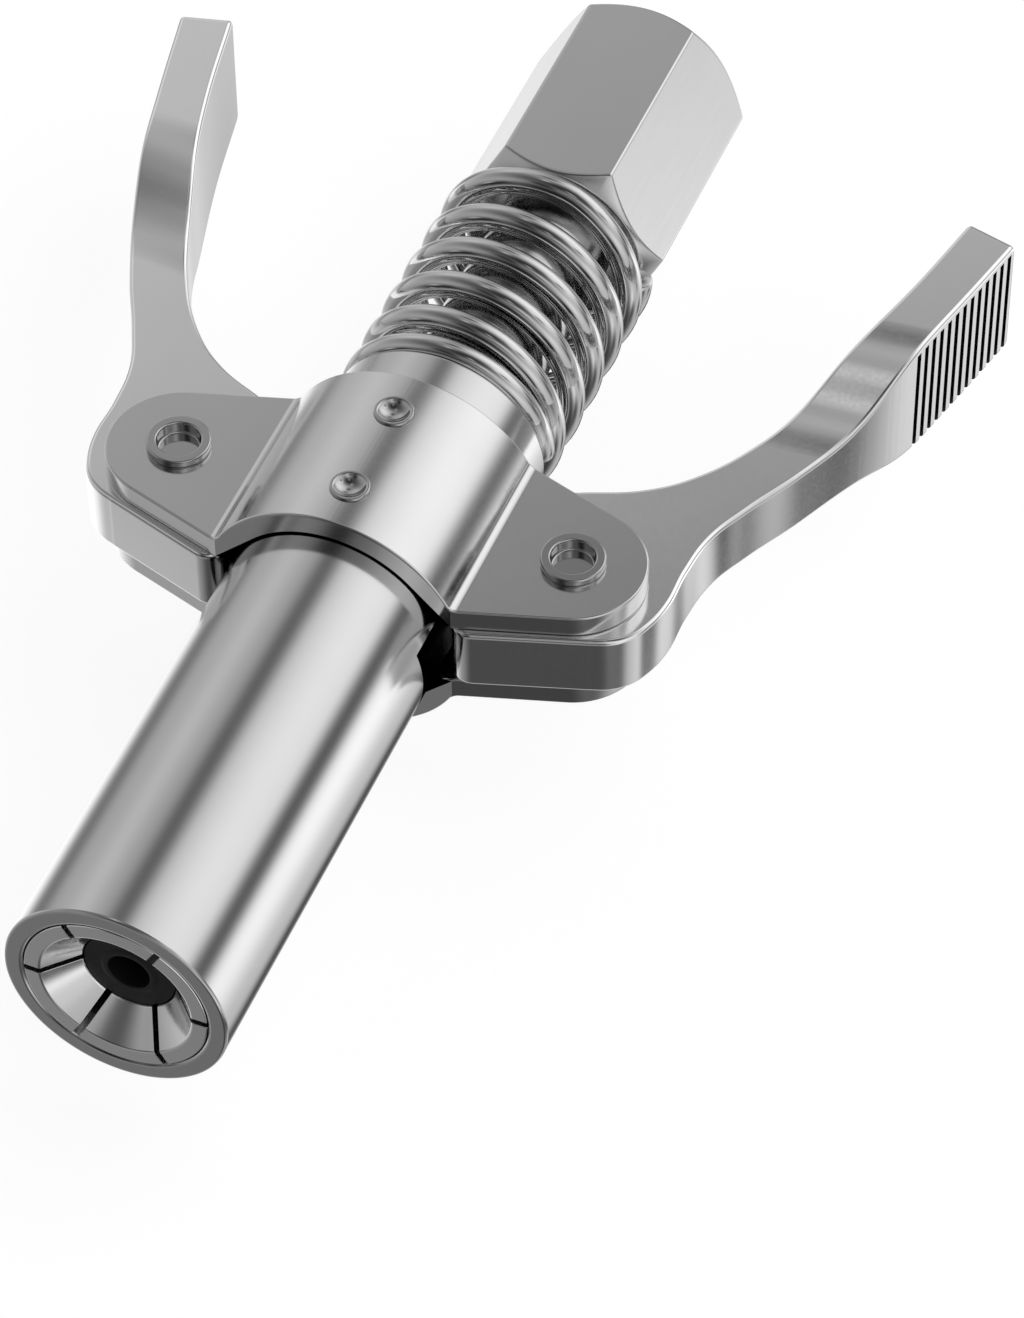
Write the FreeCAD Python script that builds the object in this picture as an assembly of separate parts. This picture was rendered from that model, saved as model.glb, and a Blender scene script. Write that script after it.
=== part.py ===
import FreeCAD, Part
import math
import os

# Quick-release grease coupler with two squeeze levers, in millimetres.
# The hex end screws onto a grease gun's hose. Squeezing the levers draws the sleeve back along
# the core tube, so that six jaws come out of the sleeve's conical mouth and open round a nipple.
# +Y runs along the coupler's axis and leaves the inlet thread, +Z is the front side of the bracket
# and +X is right. The origin is on the axis, where the inlet thread's full bore starts.
# Stations are distances along the axis from the nozzle face.

# Clearances
running_gap = 0.05
assembly_gap = 0.02
side_gap = 0.05
cone_gap = 0.06
seat_gap = 0.05

# Outer sleeve
sleeve_radius = 8.0
sleeve_length = 54.4
sleeve_bore_radius = 5.5
mouth_radius = 6.66
mouth_depth = 5.0
guide_length = 7.6
slot_overhang = 3.1
edge_break = 0.25

# Bracket plates and their rivets
plate_thickness = 1.77
bracket_length = 14.65
bracket_setback = 4.2
ear_fold_radius = 0.8
ear_tip_radius = 5.2
pivot_offset = 14.8
rivet_radius = 1.8
rivet_head_radius = 2.3
rivet_head_height = 0.62
rivet_hollow_radius = 1.55
rivet_hollow_depth = 1.0

# Pins that hold the bracket on the sleeve
pin_radius = 0.95
pin_head_radius = 1.4
pin_head_depth = 0.55
pin_head_rise = 0.16
pin_dish_depth = 0.45
pin_spacing = 7.6
pin_floor = 0.62

# Levers
lever_thickness = 5.1
grip_thickness = 10.1
lever_end_gap = 0.75
flare_start = 17.0
flare_length = 12.7
nose_radius = 1.4
nose_neck_gap = 0.35
squeeze_stroke = 2.6
grip_groove_count = 13
grip_groove_pitch = 1.0
grip_groove_width = 0.5
grip_groove_depth = 0.4
grip_groove_margin = 0.55
grip_groove_setback = 0.85
# Lever edges as offsets from the pivot, outwards and towards the hex. The outer edge runs from the
# nozzle side round the knuckle to the tip, the inner edge from the tip back to the sleeve.
outer_edge = [(3.0, -4.97), (4.5, -4.35), (5.6, -3.4), (6.35, -2.0), (6.9, 0.3), (6.95, 3.8),
              (7.4, 7.3), (8.75, 10.6), (11.1, 15.3), (13.8, 22.0), (16.2, 31.4), (18.15, 40.0)]
inner_edge = [(14.3, 41.0), (12.35, 32.1), (10.0, 24.3), (7.1, 16.9), (4.2, 12.4), (1.35, 9.9),
              (-2.6, 8.05)]
tip_crown = (16.3, 41.0)
shoulder = (-4.0, 7.4)
heel_top = 3.0
heel_corner = (-5.2, -7.6)
heel_corner_radius = 1.4

# Core tube, jaw carrier and hex adapter
shaft_radius = 4.5
neck_radius = 3.2
neck_play = 0.3
land_length = 6.0
land_relief = 0.3
passage_radius = 1.5
chamber_radius = 3.3
chamber_length = 11.0
carrier_thread_radius = 4.2
carrier_thread_length = 5.6
carrier_head_radius = 4.2
carrier_head_length = 1.8
carrier_neck_radius = 3.5
carrier_neck_length = 2.2
washer_thickness = 0.8
hex_flats = 14.3
hex_length = 19.1
hex_face_radius = 6.9
hex_socket_depth = 5.2
inlet_radius = 4.3
inlet_depth = 8.8
inlet_countersink = 0.8
drill_point_angle = 118.0

# Main spring
spring_length = 20.9
spring_wire = 2.0
spring_mean_radius = 7.3
spring_turns = 6.0
spring_facets = (24, 8)
small_spring_facets = (12, 6)
# Closed ends of every spring: turns counted from that end, and the wire diameters climbed by then
near_end_climb = [(0.5, 0.1)]
far_end_climb = [(0.8, 0.35), (1.0, 1.05)]

# Jaws
jaw_count = 6
jaw_slot = 0.45
jaw_recess = 0.05
jaw_rim_inner_radius = 5.44
throat_radius = 3.31
throat_depth = 2.25
lip_length = 0.6
jaw_pocket_radius = 3.85
jaw_rear_radius = 4.35
jaw_waist_radius = 5.05
jaw_pad_length = 2.0
jaw_length = 16.3
ring_wire = 0.6
ring_groove_width = 0.8
ring_room_radius = 4.0

# Nozzle seal, its backing ring, the follower and the follower's spring
seal_length = 4.2
seal_body_radius = 3.6
seal_hole_radius = 1.5
seal_hole_lip = 0.3
backing_radius = 3.4
backing_thickness = 1.2
follower_radius = 2.4
follower_bore_radius = 1.2
follower_flange_radius = 3.1
follower_flange_length = 1.0
o_ring_section = 0.9
o_ring_groove_width = 1.1
seal_spring_wire = 0.6
seal_spring_mean_radius = 2.8
seal_spring_turns = 6.5

# Check ball and its spring
ball_radius = 1.98
ball_seat_radius = 1.3
ball_chamber_radius = 2.5
ball_spring_wire = 0.4
ball_spring_mean_radius = 1.7
ball_spring_turns = 4.5
ball_spring_length = 7.4

# Stations along the axis, from the nozzle face
overall_length = sleeve_length + spring_length + hex_length
hex_near = sleeve_length + spring_length
bracket_top = sleeve_length - bracket_setback
bracket_bottom = bracket_top - bracket_length
pivot_station = bracket_bottom + bracket_length / 2
nose_station = pivot_station + squeeze_stroke / 2
groove_low = nose_station - nose_radius - seat_gap
groove_high = nose_station + nose_radius + neck_play
slot_low = bracket_bottom - slot_overhang
guide_low = sleeve_length - guide_length
slot_high = guide_low - 2 * seat_gap
core_front = jaw_length + 2 * seat_gap
carrier_head_end = core_front - carrier_neck_length
carrier_front = carrier_head_end - carrier_head_length
carrier_end = core_front + carrier_thread_length
chamber_low = carrier_end + washer_thickness
chamber_high = carrier_end + chamber_length
socket_floor = hex_near + hex_socket_depth
core_end = socket_floor - washer_thickness
lip_end = throat_depth + lip_length
seal_face = throat_depth + seat_gap
seal_end = seal_face + seal_length
flange_low = carrier_end + seat_gap
spring_seat = flange_low + follower_flange_length
o_ring_station = core_front + carrier_thread_length / 2
ring_station = carrier_front - 2.5 * ring_wire
pin_stations = (pivot_station - pin_spacing / 2, pivot_station + pin_spacing / 2)
ball_seat_low = socket_floor + ball_radius / 2
ball_seat_high = ball_seat_low + ball_chamber_radius - ball_seat_radius
ball_centre = ball_seat_low + ball_chamber_radius - math.sqrt(2) * (ball_radius + seat_gap / 2)
ball_spring_inner = ball_spring_mean_radius - ball_spring_wire / 2
ball_spring_high = ball_centre - math.sqrt(ball_radius ** 2 - ball_spring_inner ** 2)
ball_spring_low = ball_spring_high - ball_spring_length

# Sizes that follow from the ones above
half_lever = lever_thickness / 2
plate_low = half_lever + side_gap
plate_high = plate_low + plate_thickness
arch_inner = sleeve_radius + assembly_gap
arch_outer = arch_inner + plate_thickness
fold_x = math.sqrt(arch_outer ** 2 - plate_high ** 2)
mouth_slope = (mouth_radius - sleeve_bore_radius) / mouth_depth
land_radius = sleeve_bore_radius - running_gap
follower_bore = follower_radius + running_gap
nose_x = neck_radius + nose_neck_gap + nose_radius
nozzle_y = inlet_countersink - overall_length
Y_AXIS = FreeCAD.Vector(0, 1, 0)
Z_AXIS = FreeCAD.Vector(0, 0, 1)


def point(x, station, z=0.0):
    """A point given by its station along the axis."""
    return FreeCAD.Vector(x, nozzle_y + station, z)


def turned(profile):
    """A solid turned about the coupler's axis from corners given as (radius, station)."""
    corners = [point(radius, station) for radius, station in profile]
    outline = Part.makePolygon(corners + corners[:1])
    return Part.Face(outline).revolve(FreeCAD.Vector(0, 0, 0), Y_AXIS, 360)


def rod(radius, start, end):
    """A round bar on the coupler's axis."""
    return Part.makeCylinder(radius, end - start, point(0, start), Y_AXIS)


def upright(x, station, radius, low, high):
    """A round bar along Z."""
    return Part.makeCylinder(radius, high - low, point(x, station, low), Z_AXIS)


def block(x_low, x_high, start, end, z_low, z_high):
    """A box between two stations."""
    return Part.makeBox(x_high - x_low, end - start, z_high - z_low, point(x_low, start, z_low))


def coil(mean_radius, wire, turns, start, end, facets):
    """A left-hand spring with closed ends between two stations, made of flat facets.

    The facets are counted along one turn and round the wire. The last turn ends on the +X side,
    where the photo shows the cut wire.
    """
    turn_facets, wire_facets = facets
    full_climb = end - start - wire
    marks = [(0, 0)] + [(turn, share * wire) for turn, share in near_end_climb]
    marks += [(turns - turn, full_climb - share * wire) for turn, share in far_end_climb[::-1]]
    marks.append((turns, full_climb))

    def height(turn):
        for (low_turn, low), (high_turn, high) in zip(marks, marks[1:]):
            if turn <= high_turn:
                return low + (high - low) * (turn - low_turn) / (high_turn - low_turn)
        return full_climb

    steps = round(turns * turn_facets)
    rings = []
    for step in range(steps + 1):
        turn = turns * step / steps
        angle = 2 * math.pi * (turn - turns)
        outward = FreeCAD.Vector(math.cos(angle), 0, math.sin(angle))
        near_low = max(turn - 0.5 / turn_facets, 0)
        near_high = min(turn + 0.5 / turn_facets, turns)
        lead = (height(near_high) - height(near_low)) / (near_high - near_low)
        forward = FreeCAD.Vector(-outward.z, lead / (2 * math.pi * mean_radius), outward.x)
        across = forward.cross(outward).normalize()
        centre = outward * mean_radius + point(0, start + wire / 2 + height(turn))
        ring = []
        for side in range(wire_facets):
            around = 2 * math.pi * (side + 0.5) / wire_facets
            ring.append(centre + (outward * math.cos(around) + across * math.sin(around)) * (wire / 2))
        rings.append(ring)
    faces = [facet(rings[0][::-1]), facet(rings[-1])]
    for ring, following in zip(rings, rings[1:]):
        for side in range(wire_facets):
            beside = (side + 1) % wire_facets
            faces.append(facet([ring[side], ring[beside], following[beside]]))
            faces.append(facet([ring[side], following[beside], following[side]]))
    return Part.Solid(Part.Shell(faces))


def facet(corners):
    """A flat face between corners."""
    return Part.Face(Part.makePolygon(corners + corners[:1]))


def mirrored(shape, normal):
    """The shape's mirror image in a plane through the coupler's axis."""
    return shape.mirror(FreeCAD.Vector(0, 0, 0), normal)


def outer_sleeve():
    """The long barrel with its conical mouth, the guide bore and the two lever slots."""
    guide_radius = shaft_radius + running_gap
    barrel = turned([
        (mouth_radius, 0),
        (sleeve_radius - edge_break, 0),
        (sleeve_radius, edge_break),
        (sleeve_radius, sleeve_length - edge_break),
        (sleeve_radius - edge_break, sleeve_length),
        (guide_radius + edge_break, sleeve_length),
        (guide_radius, sleeve_length - edge_break),
        (guide_radius, guide_low),
        (sleeve_bore_radius, guide_low),
        (sleeve_bore_radius, mouth_depth),
    ])
    slots = block(-2 * sleeve_radius, 2 * sleeve_radius, slot_low, slot_high,
                  -plate_low, plate_low)
    barrel = barrel.cut(slots)
    for station in pin_stations:
        hole = upright(0, station, pin_radius + assembly_gap,
                       sleeve_bore_radius + pin_floor, 2 * sleeve_radius)
        barrel = barrel.cut(hole).cut(mirrored(hole, Z_AXIS))
    return barrel


def bracket_section():
    """The plate's bent section, half of it: arch, fold and flat ear, as closed corners and arcs."""
    outer = arch_outer + ear_fold_radius
    centre_z = plate_high + ear_fold_radius
    centre_x = math.sqrt(outer ** 2 - centre_z ** 2)
    inner_fold = ear_fold_radius + plate_thickness
    tip_x = pivot_offset + 2 * ear_tip_radius

    def on_arch(radius):
        return FreeCAD.Vector(radius * centre_x / outer, 0, radius * centre_z / outer)

    def halfway(radius):
        angle = math.atan2(centre_z, centre_x) / 2 + math.pi / 4
        return FreeCAD.Vector(radius * math.cos(angle), 0, radius * math.sin(angle))

    def in_fold(radius):
        angle = (math.atan2(centre_z, centre_x) + math.pi / 2) / 2
        return FreeCAD.Vector(centre_x - radius * math.cos(angle), 0,
                              centre_z - radius * math.sin(angle))

    crown_high = FreeCAD.Vector(0, 0, arch_outer)
    crown_low = FreeCAD.Vector(0, 0, arch_inner)
    high_fold = FreeCAD.Vector(centre_x, 0, plate_high)
    low_fold = FreeCAD.Vector(centre_x, 0, plate_low)
    high_tip = FreeCAD.Vector(tip_x, 0, plate_high)
    low_tip = FreeCAD.Vector(tip_x, 0, plate_low)
    return Part.Wire([
        Part.Arc(crown_high, halfway(arch_outer), on_arch(arch_outer)).toShape(),
        Part.Arc(on_arch(arch_outer), in_fold(ear_fold_radius), high_fold).toShape(),
        Part.makeLine(high_fold, high_tip),
        Part.makeLine(high_tip, low_tip),
        Part.makeLine(low_tip, low_fold),
        Part.Arc(low_fold, in_fold(inner_fold), on_arch(arch_inner)).toShape(),
        Part.Arc(on_arch(arch_inner), halfway(arch_inner), crown_low).toShape(),
        Part.makeLine(crown_low, crown_high),
    ])


def bracket_plan():
    """Half of the plate seen from the front: square over the arch, round about the pivot."""
    reach = math.hypot(pivot_offset - fold_x, bracket_length / 2)
    lean = math.atan2(bracket_length / 2, pivot_offset - fold_x)
    turn = lean + math.acos(ear_tip_radius / reach)

    def on_tip(angle):
        return point(pivot_offset - ear_tip_radius * math.cos(angle),
                     pivot_station + ear_tip_radius * math.sin(angle))

    return Part.Wire([
        Part.makeLine(point(0, bracket_bottom), point(fold_x, bracket_bottom)),
        Part.makeLine(point(fold_x, bracket_bottom), on_tip(-turn)),
        Part.Arc(on_tip(-turn), on_tip(math.pi), on_tip(turn)).toShape(),
        Part.makeLine(on_tip(turn), point(fold_x, bracket_top)),
        Part.makeLine(point(fold_x, bracket_top), point(0, bracket_top)),
        Part.makeLine(point(0, bracket_top), point(0, bracket_bottom)),
    ])


def bracket_front():
    """The front half: an arch over the sleeve that folds out into a flat ear on each side."""
    section = Part.Face(bracket_section()).extrude(FreeCAD.Vector(0, bracket_length, 0))
    section.translate(point(0, bracket_bottom))
    plan = Part.Face(bracket_plan()).extrude(FreeCAD.Vector(0, 0, 2 * arch_outer))
    half = section.common(plan)
    half = half.cut(upright(pivot_offset, pivot_station, rivet_radius + assembly_gap,
                            0, 2 * arch_outer))
    plate = half.fuse(mirrored(half, FreeCAD.Vector(1, 0, 0))).removeSplitter()
    for station in pin_stations:
        plate = plate.cut(upright(0, station, pin_radius + assembly_gap, 0, 2 * arch_outer))
        plate = plate.cut(upright(0, station, pin_head_radius + assembly_gap,
                                  arch_outer - pin_head_depth - assembly_gap, 2 * arch_outer))
    return plate


def rivet(side):
    """A tubular rivet whose flat rims stand proud of both plates."""
    top = plate_high + rivet_head_height
    hollow = plate_high + rivet_head_height - rivet_hollow_depth
    break_size = edge_break / 2
    corners = [
        (0, 0),
        (rivet_radius, 0),
        (rivet_radius, plate_high),
        (rivet_head_radius, plate_high),
        (rivet_head_radius, top - break_size),
        (rivet_head_radius - break_size, top),
        (rivet_hollow_radius + break_size, top),
        (rivet_hollow_radius, top - break_size),
        (rivet_hollow_radius, hollow),
        (0, hollow),
    ]
    centre = point(side * pivot_offset, pivot_station)
    outline = Part.makePolygon([centre + FreeCAD.Vector(r, 0, z) for r, z in corners + corners[:1]])
    half = Part.Face(outline).revolve(centre, Z_AXIS, 360)
    return half.fuse(half.mirror(centre, Z_AXIS)).removeSplitter()


def bracket_pins():
    """Four pins with dished heads, two through each half of the bracket."""
    floor = sleeve_bore_radius + pin_floor + assembly_gap
    top = arch_outer + pin_head_rise
    under = arch_outer - pin_head_depth
    dish_radius = pin_head_radius - edge_break
    ball = (dish_radius ** 2 + pin_dish_depth ** 2) / (2 * pin_dish_depth)
    pins = []
    for station in pin_stations:
        shank = upright(0, station, pin_radius, floor, under)
        head = upright(0, station, pin_head_radius, under, top)
        dish = Part.makeSphere(ball, point(0, station, top - pin_dish_depth + ball))
        pin = shank.fuse(head).cut(dish).removeSplitter()
        pins.append(pin)
        pins.append(mirrored(pin, Z_AXIS))
    return Part.makeCompound(pins)


def lever_plan():
    """The right lever's outline seen from the front, without its nose."""
    def near(offset):
        return point(pivot_offset + offset[0], pivot_station + offset[1])

    outer = Part.BSplineCurve()
    outer.interpolate([near(offset) for offset in outer_edge])
    inner = Part.BSplineCurve()
    inner.interpolate([near(offset) for offset in inner_edge])
    end_x = sleeve_radius / 2 - pivot_offset
    along = math.atan2(outer_edge[0][1] - heel_corner[1], outer_edge[0][0] - heel_corner[0])
    half_turn = (math.pi / 2 - along) / 2
    setback = heel_corner_radius / math.tan(half_turn)
    inset = heel_corner_radius / math.sin(half_turn) - heel_corner_radius
    on_edge = (heel_corner[0] + setback * math.cos(along), heel_corner[1] + setback * math.sin(along))
    on_end = (heel_corner[0], heel_corner[1] + setback)
    bisector = along + half_turn
    crest = (heel_corner[0] + inset * math.cos(bisector), heel_corner[1] + inset * math.sin(bisector))
    heel = [inner_edge[-1], shoulder, (heel_corner[0], heel_top), (end_x, heel_top),
            (end_x, on_end[1]), on_end]
    edges = [
        outer.toShape(),
        Part.Arc(near(outer_edge[-1]), near(tip_crown), near(inner_edge[0])).toShape(),
        inner.toShape(),
        Part.Arc(near(on_end), near(crest), near(on_edge)).toShape(),
        Part.makeLine(near(on_edge), near(outer_edge[0])),
    ]
    edges += [Part.makeLine(near(a), near(b)) for a, b in zip(heel, heel[1:])]
    return Part.Wire(Part.__sortEdges__(edges))


def lever_side():
    """The lever's thickness seen from the side: slim at the pivot, flared at the grip."""
    start = pivot_station + flare_start
    end = start + flare_length
    half_grip = grip_thickness / 2
    low = slot_low - sleeve_radius
    high = pivot_station + 2 * overall_length
    flare = Part.BSplineCurve()
    lean = flare_length / 2
    poles = [point(0, start, half_lever), point(0, start + lean, half_lever),
             point(0, end - lean, half_grip), point(0, end, half_grip)]
    flare.buildFromPolesMultsKnots(poles, [4, 4], [0, 1], False, 3)
    top = [point(0, low, half_lever), poles[0], poles[-1], point(0, high, half_grip)]
    upper = [Part.makeLine(top[0], top[1]), flare.toShape(), Part.makeLine(top[2], top[3])]
    lower = [mirrored(edge, Z_AXIS) for edge in upper]
    ends = [Part.makeLine(top[0], point(0, low, -half_lever)),
            Part.makeLine(top[3], point(0, high, -half_grip))]
    return Part.Wire(Part.__sortEdges__(upper + lower + ends))


def lever_nose():
    """The round-ended nose that reaches through the sleeve's slot into the core's groove."""
    lobe = upright(nose_x, nose_station, nose_radius, -half_lever, half_lever)
    root_x = sleeve_radius + 2 * lever_end_gap
    waist = nose_radius * math.sqrt(0.5)
    corners = [
        (nose_x + waist, nose_station - waist),
        (root_x, nose_station - 2 * nose_radius),
        (root_x, nose_station + nose_radius),
        (nose_x + waist, nose_station + waist),
    ]
    outline = [point(x, station, -half_lever) for x, station in corners + corners[:1]]
    arm = Part.Face(Part.makePolygon(outline)).extrude(FreeCAD.Vector(0, 0, lever_thickness))
    return lobe.fuse(arm)


def grip_grooves():
    """Cutters for the grooves across the outer face of the grip."""
    tip = FreeCAD.Vector(outer_edge[-1][0], outer_edge[-1][1], 0)
    back = FreeCAD.Vector(outer_edge[-2][0], outer_edge[-2][1], 0)
    along = (back - tip).normalize()
    tilt = math.degrees(math.atan2(along.x, -along.y))
    cutters = []
    for index in range(grip_groove_count):
        place = tip + along * (grip_groove_setback + index * grip_groove_pitch)
        low = -grip_thickness
        high = grip_thickness / 2 - grip_groove_margin
        cutter = Part.makeBox(2 * grip_groove_depth, grip_groove_width, high - low,
                              FreeCAD.Vector(-grip_groove_depth, -grip_groove_width / 2, low))
        cutter.rotate(FreeCAD.Vector(0, 0, 0), Z_AXIS, tilt)
        cutter.translate(point(pivot_offset + place.x, pivot_station + place.y))
        cutters.append(cutter)
    return cutters


def lever_right():
    """The right squeeze lever, with its pivot bore."""
    plan = Part.Face(lever_plan())
    plan.translate(FreeCAD.Vector(0, 0, -grip_thickness))
    side = Part.Face(lever_side())
    lever = plan.extrude(FreeCAD.Vector(0, 0, 2 * grip_thickness))
    lever = lever.common(side.extrude(FreeCAD.Vector(4 * pivot_offset, 0, 0)))
    hollow = rod(sleeve_radius + lever_end_gap, slot_low - sleeve_length, sleeve_length)
    lever = lever.cut(hollow)
    lever = lever.fuse(lever_nose()).removeSplitter()
    lever = lever.cut(upright(pivot_offset, pivot_station, rivet_radius + running_gap,
                              -grip_thickness, grip_thickness))
    for cutter in grip_grooves():
        lever = lever.cut(cutter)
    return lever


def core_tube():
    """The sliding core: a long guide land, the groove for the lever noses and the shaft."""
    relief = land_radius - land_relief
    body = turned([
        (0, core_front),
        (land_radius - edge_break, core_front),
        (land_radius, core_front + edge_break),
        (land_radius, core_front + land_length),
        (relief, core_front + land_length + land_relief),
        (relief, groove_low - land_length - land_relief),
        (land_radius, groove_low - land_length),
        (land_radius, groove_low),
        (neck_radius, groove_low),
        (neck_radius, groove_high),
        (shaft_radius, groove_high),
        (shaft_radius, core_end),
        (0, core_end),
    ])
    bore = rod(carrier_thread_radius + assembly_gap, core_front - 1, chamber_low)
    bore = bore.fuse(rod(chamber_radius, core_front, chamber_high))
    bore = bore.fuse(rod(passage_radius, core_front, core_end + 1))
    spring_room = ball_spring_mean_radius + ball_spring_wire
    bore = bore.fuse(rod(spring_room, ball_spring_low - seat_gap, core_end + 1))
    return body.cut(bore)


def jaw_carrier():
    """The threaded carrier whose head hooks the jaws to the core."""
    body = turned([
        (follower_bore, carrier_front),
        (carrier_head_radius, carrier_front),
        (carrier_head_radius, carrier_head_end),
        (carrier_neck_radius, carrier_head_end),
        (carrier_neck_radius, core_front),
        (carrier_thread_radius, core_front),
        (carrier_thread_radius, carrier_end),
        (follower_bore, carrier_end),
    ])
    groove = rod(follower_radius + o_ring_section, o_ring_station - o_ring_groove_width / 2,
                 o_ring_station + o_ring_groove_width / 2)
    return body.cut(groove)


def ring_solid(mean_radius, section, station):
    """A round ring about the coupler's axis."""
    return Part.makeTorus(mean_radius, section / 2, point(0, station), Y_AXIS)


def carrier_washer():
    """The sealing washer between the jaw carrier and the core tube."""
    outer = rod(carrier_thread_radius, carrier_end, chamber_low)
    return outer.cut(rod(chamber_radius, carrier_end - 1, chamber_low + 1))


def socket_washer():
    """The sealing washer between the core tube and the hex adapter."""
    outer = rod(shaft_radius, core_end, socket_floor)
    return outer.cut(rod(ball_chamber_radius, core_end - 1, socket_floor + 1))


def hex_adapter():
    """The hex end with chamfered ends, the inlet bore, the ball seat and the tube socket."""
    corner = hex_flats / math.sqrt(3)
    side = [point(corner * math.sin(math.radians(60 * index + 30)), hex_near,
                  corner * math.cos(math.radians(60 * index + 30))) for index in range(6)]
    bar = Part.Face(Part.makePolygon(side + side[:1])).extrude(FreeCAD.Vector(0, hex_length, 0))
    blank = turned([
        (0, hex_near),
        (hex_face_radius, hex_near),
        (hex_face_radius + hex_length / 2, hex_near + hex_length / 2),
        (hex_face_radius, overall_length),
        (0, overall_length),
    ])
    bar = bar.common(blank)
    bar = bar.cut(rod(shaft_radius + assembly_gap, hex_near - 1, socket_floor))
    bar = bar.cut(rod(ball_chamber_radius, hex_near, ball_seat_low))
    seat = turned([
        (0, ball_seat_low),
        (ball_chamber_radius, ball_seat_low),
        (ball_seat_radius, ball_seat_high),
        (0, ball_seat_high),
    ])
    bar = bar.cut(seat)
    bar = bar.cut(rod(ball_seat_radius, socket_floor, overall_length))
    bore_end = overall_length - inlet_countersink
    bore_floor = bore_end - inlet_depth
    point_length = (inlet_radius - ball_seat_radius) / math.tan(math.radians(drill_point_angle / 2))
    inlet = turned([
        (0, bore_floor - point_length),
        (ball_seat_radius, bore_floor - point_length),
        (inlet_radius, bore_floor),
        (inlet_radius, bore_end),
        (inlet_radius + inlet_countersink, overall_length),
        (0, overall_length),
    ])
    return bar.cut(inlet)


def jaw_ring():
    """All jaws as one turned ring, before the slots part them."""
    head_outer = mouth_radius - mouth_slope * jaw_recess - cone_gap
    cone_end = sleeve_bore_radius - cone_gap
    hook_low = carrier_head_end + seat_gap
    hook_inner = carrier_neck_radius + seat_gap
    pad_low = jaw_length - jaw_pad_length
    pad_radius = sleeve_bore_radius - 2 * cone_gap
    pocket_low = lip_end + jaw_pocket_radius - throat_radius
    groove_low_side = ring_station - ring_groove_width / 2
    groove_high_side = ring_station + ring_groove_width / 2
    groove_floor = ring_room_radius + ring_wire / 2 + seat_gap
    waist_drop = cone_end - jaw_waist_radius
    return turned([
        (jaw_rim_inner_radius, jaw_recess),
        (head_outer, jaw_recess),
        (cone_end, mouth_depth),
        (jaw_waist_radius, mouth_depth + 2 * waist_drop),
        (jaw_waist_radius, pad_low - waist_drop),
        (pad_radius, pad_low),
        (pad_radius, jaw_length),
        (hook_inner, jaw_length),
        (hook_inner, hook_low),
        (jaw_rear_radius, hook_low),
        (jaw_rear_radius, carrier_front - seat_gap),
        (ring_room_radius, carrier_front - seat_gap - (jaw_rear_radius - ring_room_radius)),
        (ring_room_radius, groove_high_side),
        (groove_floor, groove_high_side),
        (groove_floor, groove_low_side),
        (ring_room_radius, groove_low_side),
        (ring_room_radius, seal_end + ring_wire),
        (jaw_pocket_radius, seal_end + ring_wire - (ring_room_radius - jaw_pocket_radius)),
        (jaw_pocket_radius, pocket_low),
        (throat_radius, lip_end),
        (throat_radius, throat_depth),
    ])


def jaw(index):
    """One jaw: its sector of the turned ring, with half a slot cut off each side."""
    half_sector = math.pi / jaw_count
    middle = (index + 0.5) * 2 * half_sector
    apex = jaw_slot / 2 / math.sin(half_sector)
    reach = 2 * sleeve_radius
    corners = [(apex * math.cos(middle), apex * math.sin(middle))]
    for side in (-1, 1):
        angle = middle + side * half_sector
        corners.append((corners[0][0] + reach * math.cos(angle), corners[0][1] + reach * math.sin(angle)))
    wall = [point(x, -1, z) for x, z in corners]
    far = point(reach * math.cos(middle) * 2, -1, reach * math.sin(middle) * 2)
    outline = Part.makePolygon([wall[0], wall[1], far, wall[2], wall[0]])
    sector = Part.Face(outline).extrude(FreeCAD.Vector(0, jaw_length + 2, 0))
    return jaw_ring().common(sector)


def jaw_spreader_ring():
    """The split wire ring that pushes the jaws apart."""
    ring = ring_solid(ring_room_radius, ring_wire, ring_station)
    split = block(0, 2 * sleeve_radius, ring_station - ring_wire, ring_station + ring_wire,
                  -ring_wire / 2, ring_wire / 2)
    return ring.cut(split)


def nozzle_seal():
    """The rubber seal behind the jaws' throat."""
    nose_end = lip_end + seat_gap
    nose_radius_out = throat_radius - seat_gap
    return turned([
        (seal_hole_radius, seal_face - seal_hole_lip / 2),
        (seal_hole_radius + seal_hole_lip, seal_face - seal_hole_lip / 2),
        (seal_hole_radius + 2 * seal_hole_lip, seal_face),
        (nose_radius_out, seal_face),
        (nose_radius_out, nose_end),
        (seal_body_radius, nose_end + (seal_body_radius - nose_radius_out)),
        (seal_body_radius, seal_end),
        (seal_hole_radius, seal_end),
    ])


def backing_ring():
    """The washer on the follower's front end that spreads its push over the seal."""
    end = seal_end + backing_thickness
    return rod(backing_radius, seal_end, end).cut(
        rod(follower_radius + assembly_gap, seal_end - 1, end + 1))


def seal_follower():
    """The hollow plunger that backs the seal and carries grease to it."""
    return turned([
        (follower_bore_radius, seal_end),
        (follower_radius, seal_end),
        (follower_radius, flange_low),
        (follower_flange_radius, flange_low),
        (follower_flange_radius, spring_seat),
        (follower_bore_radius, spring_seat),
    ])


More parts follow.
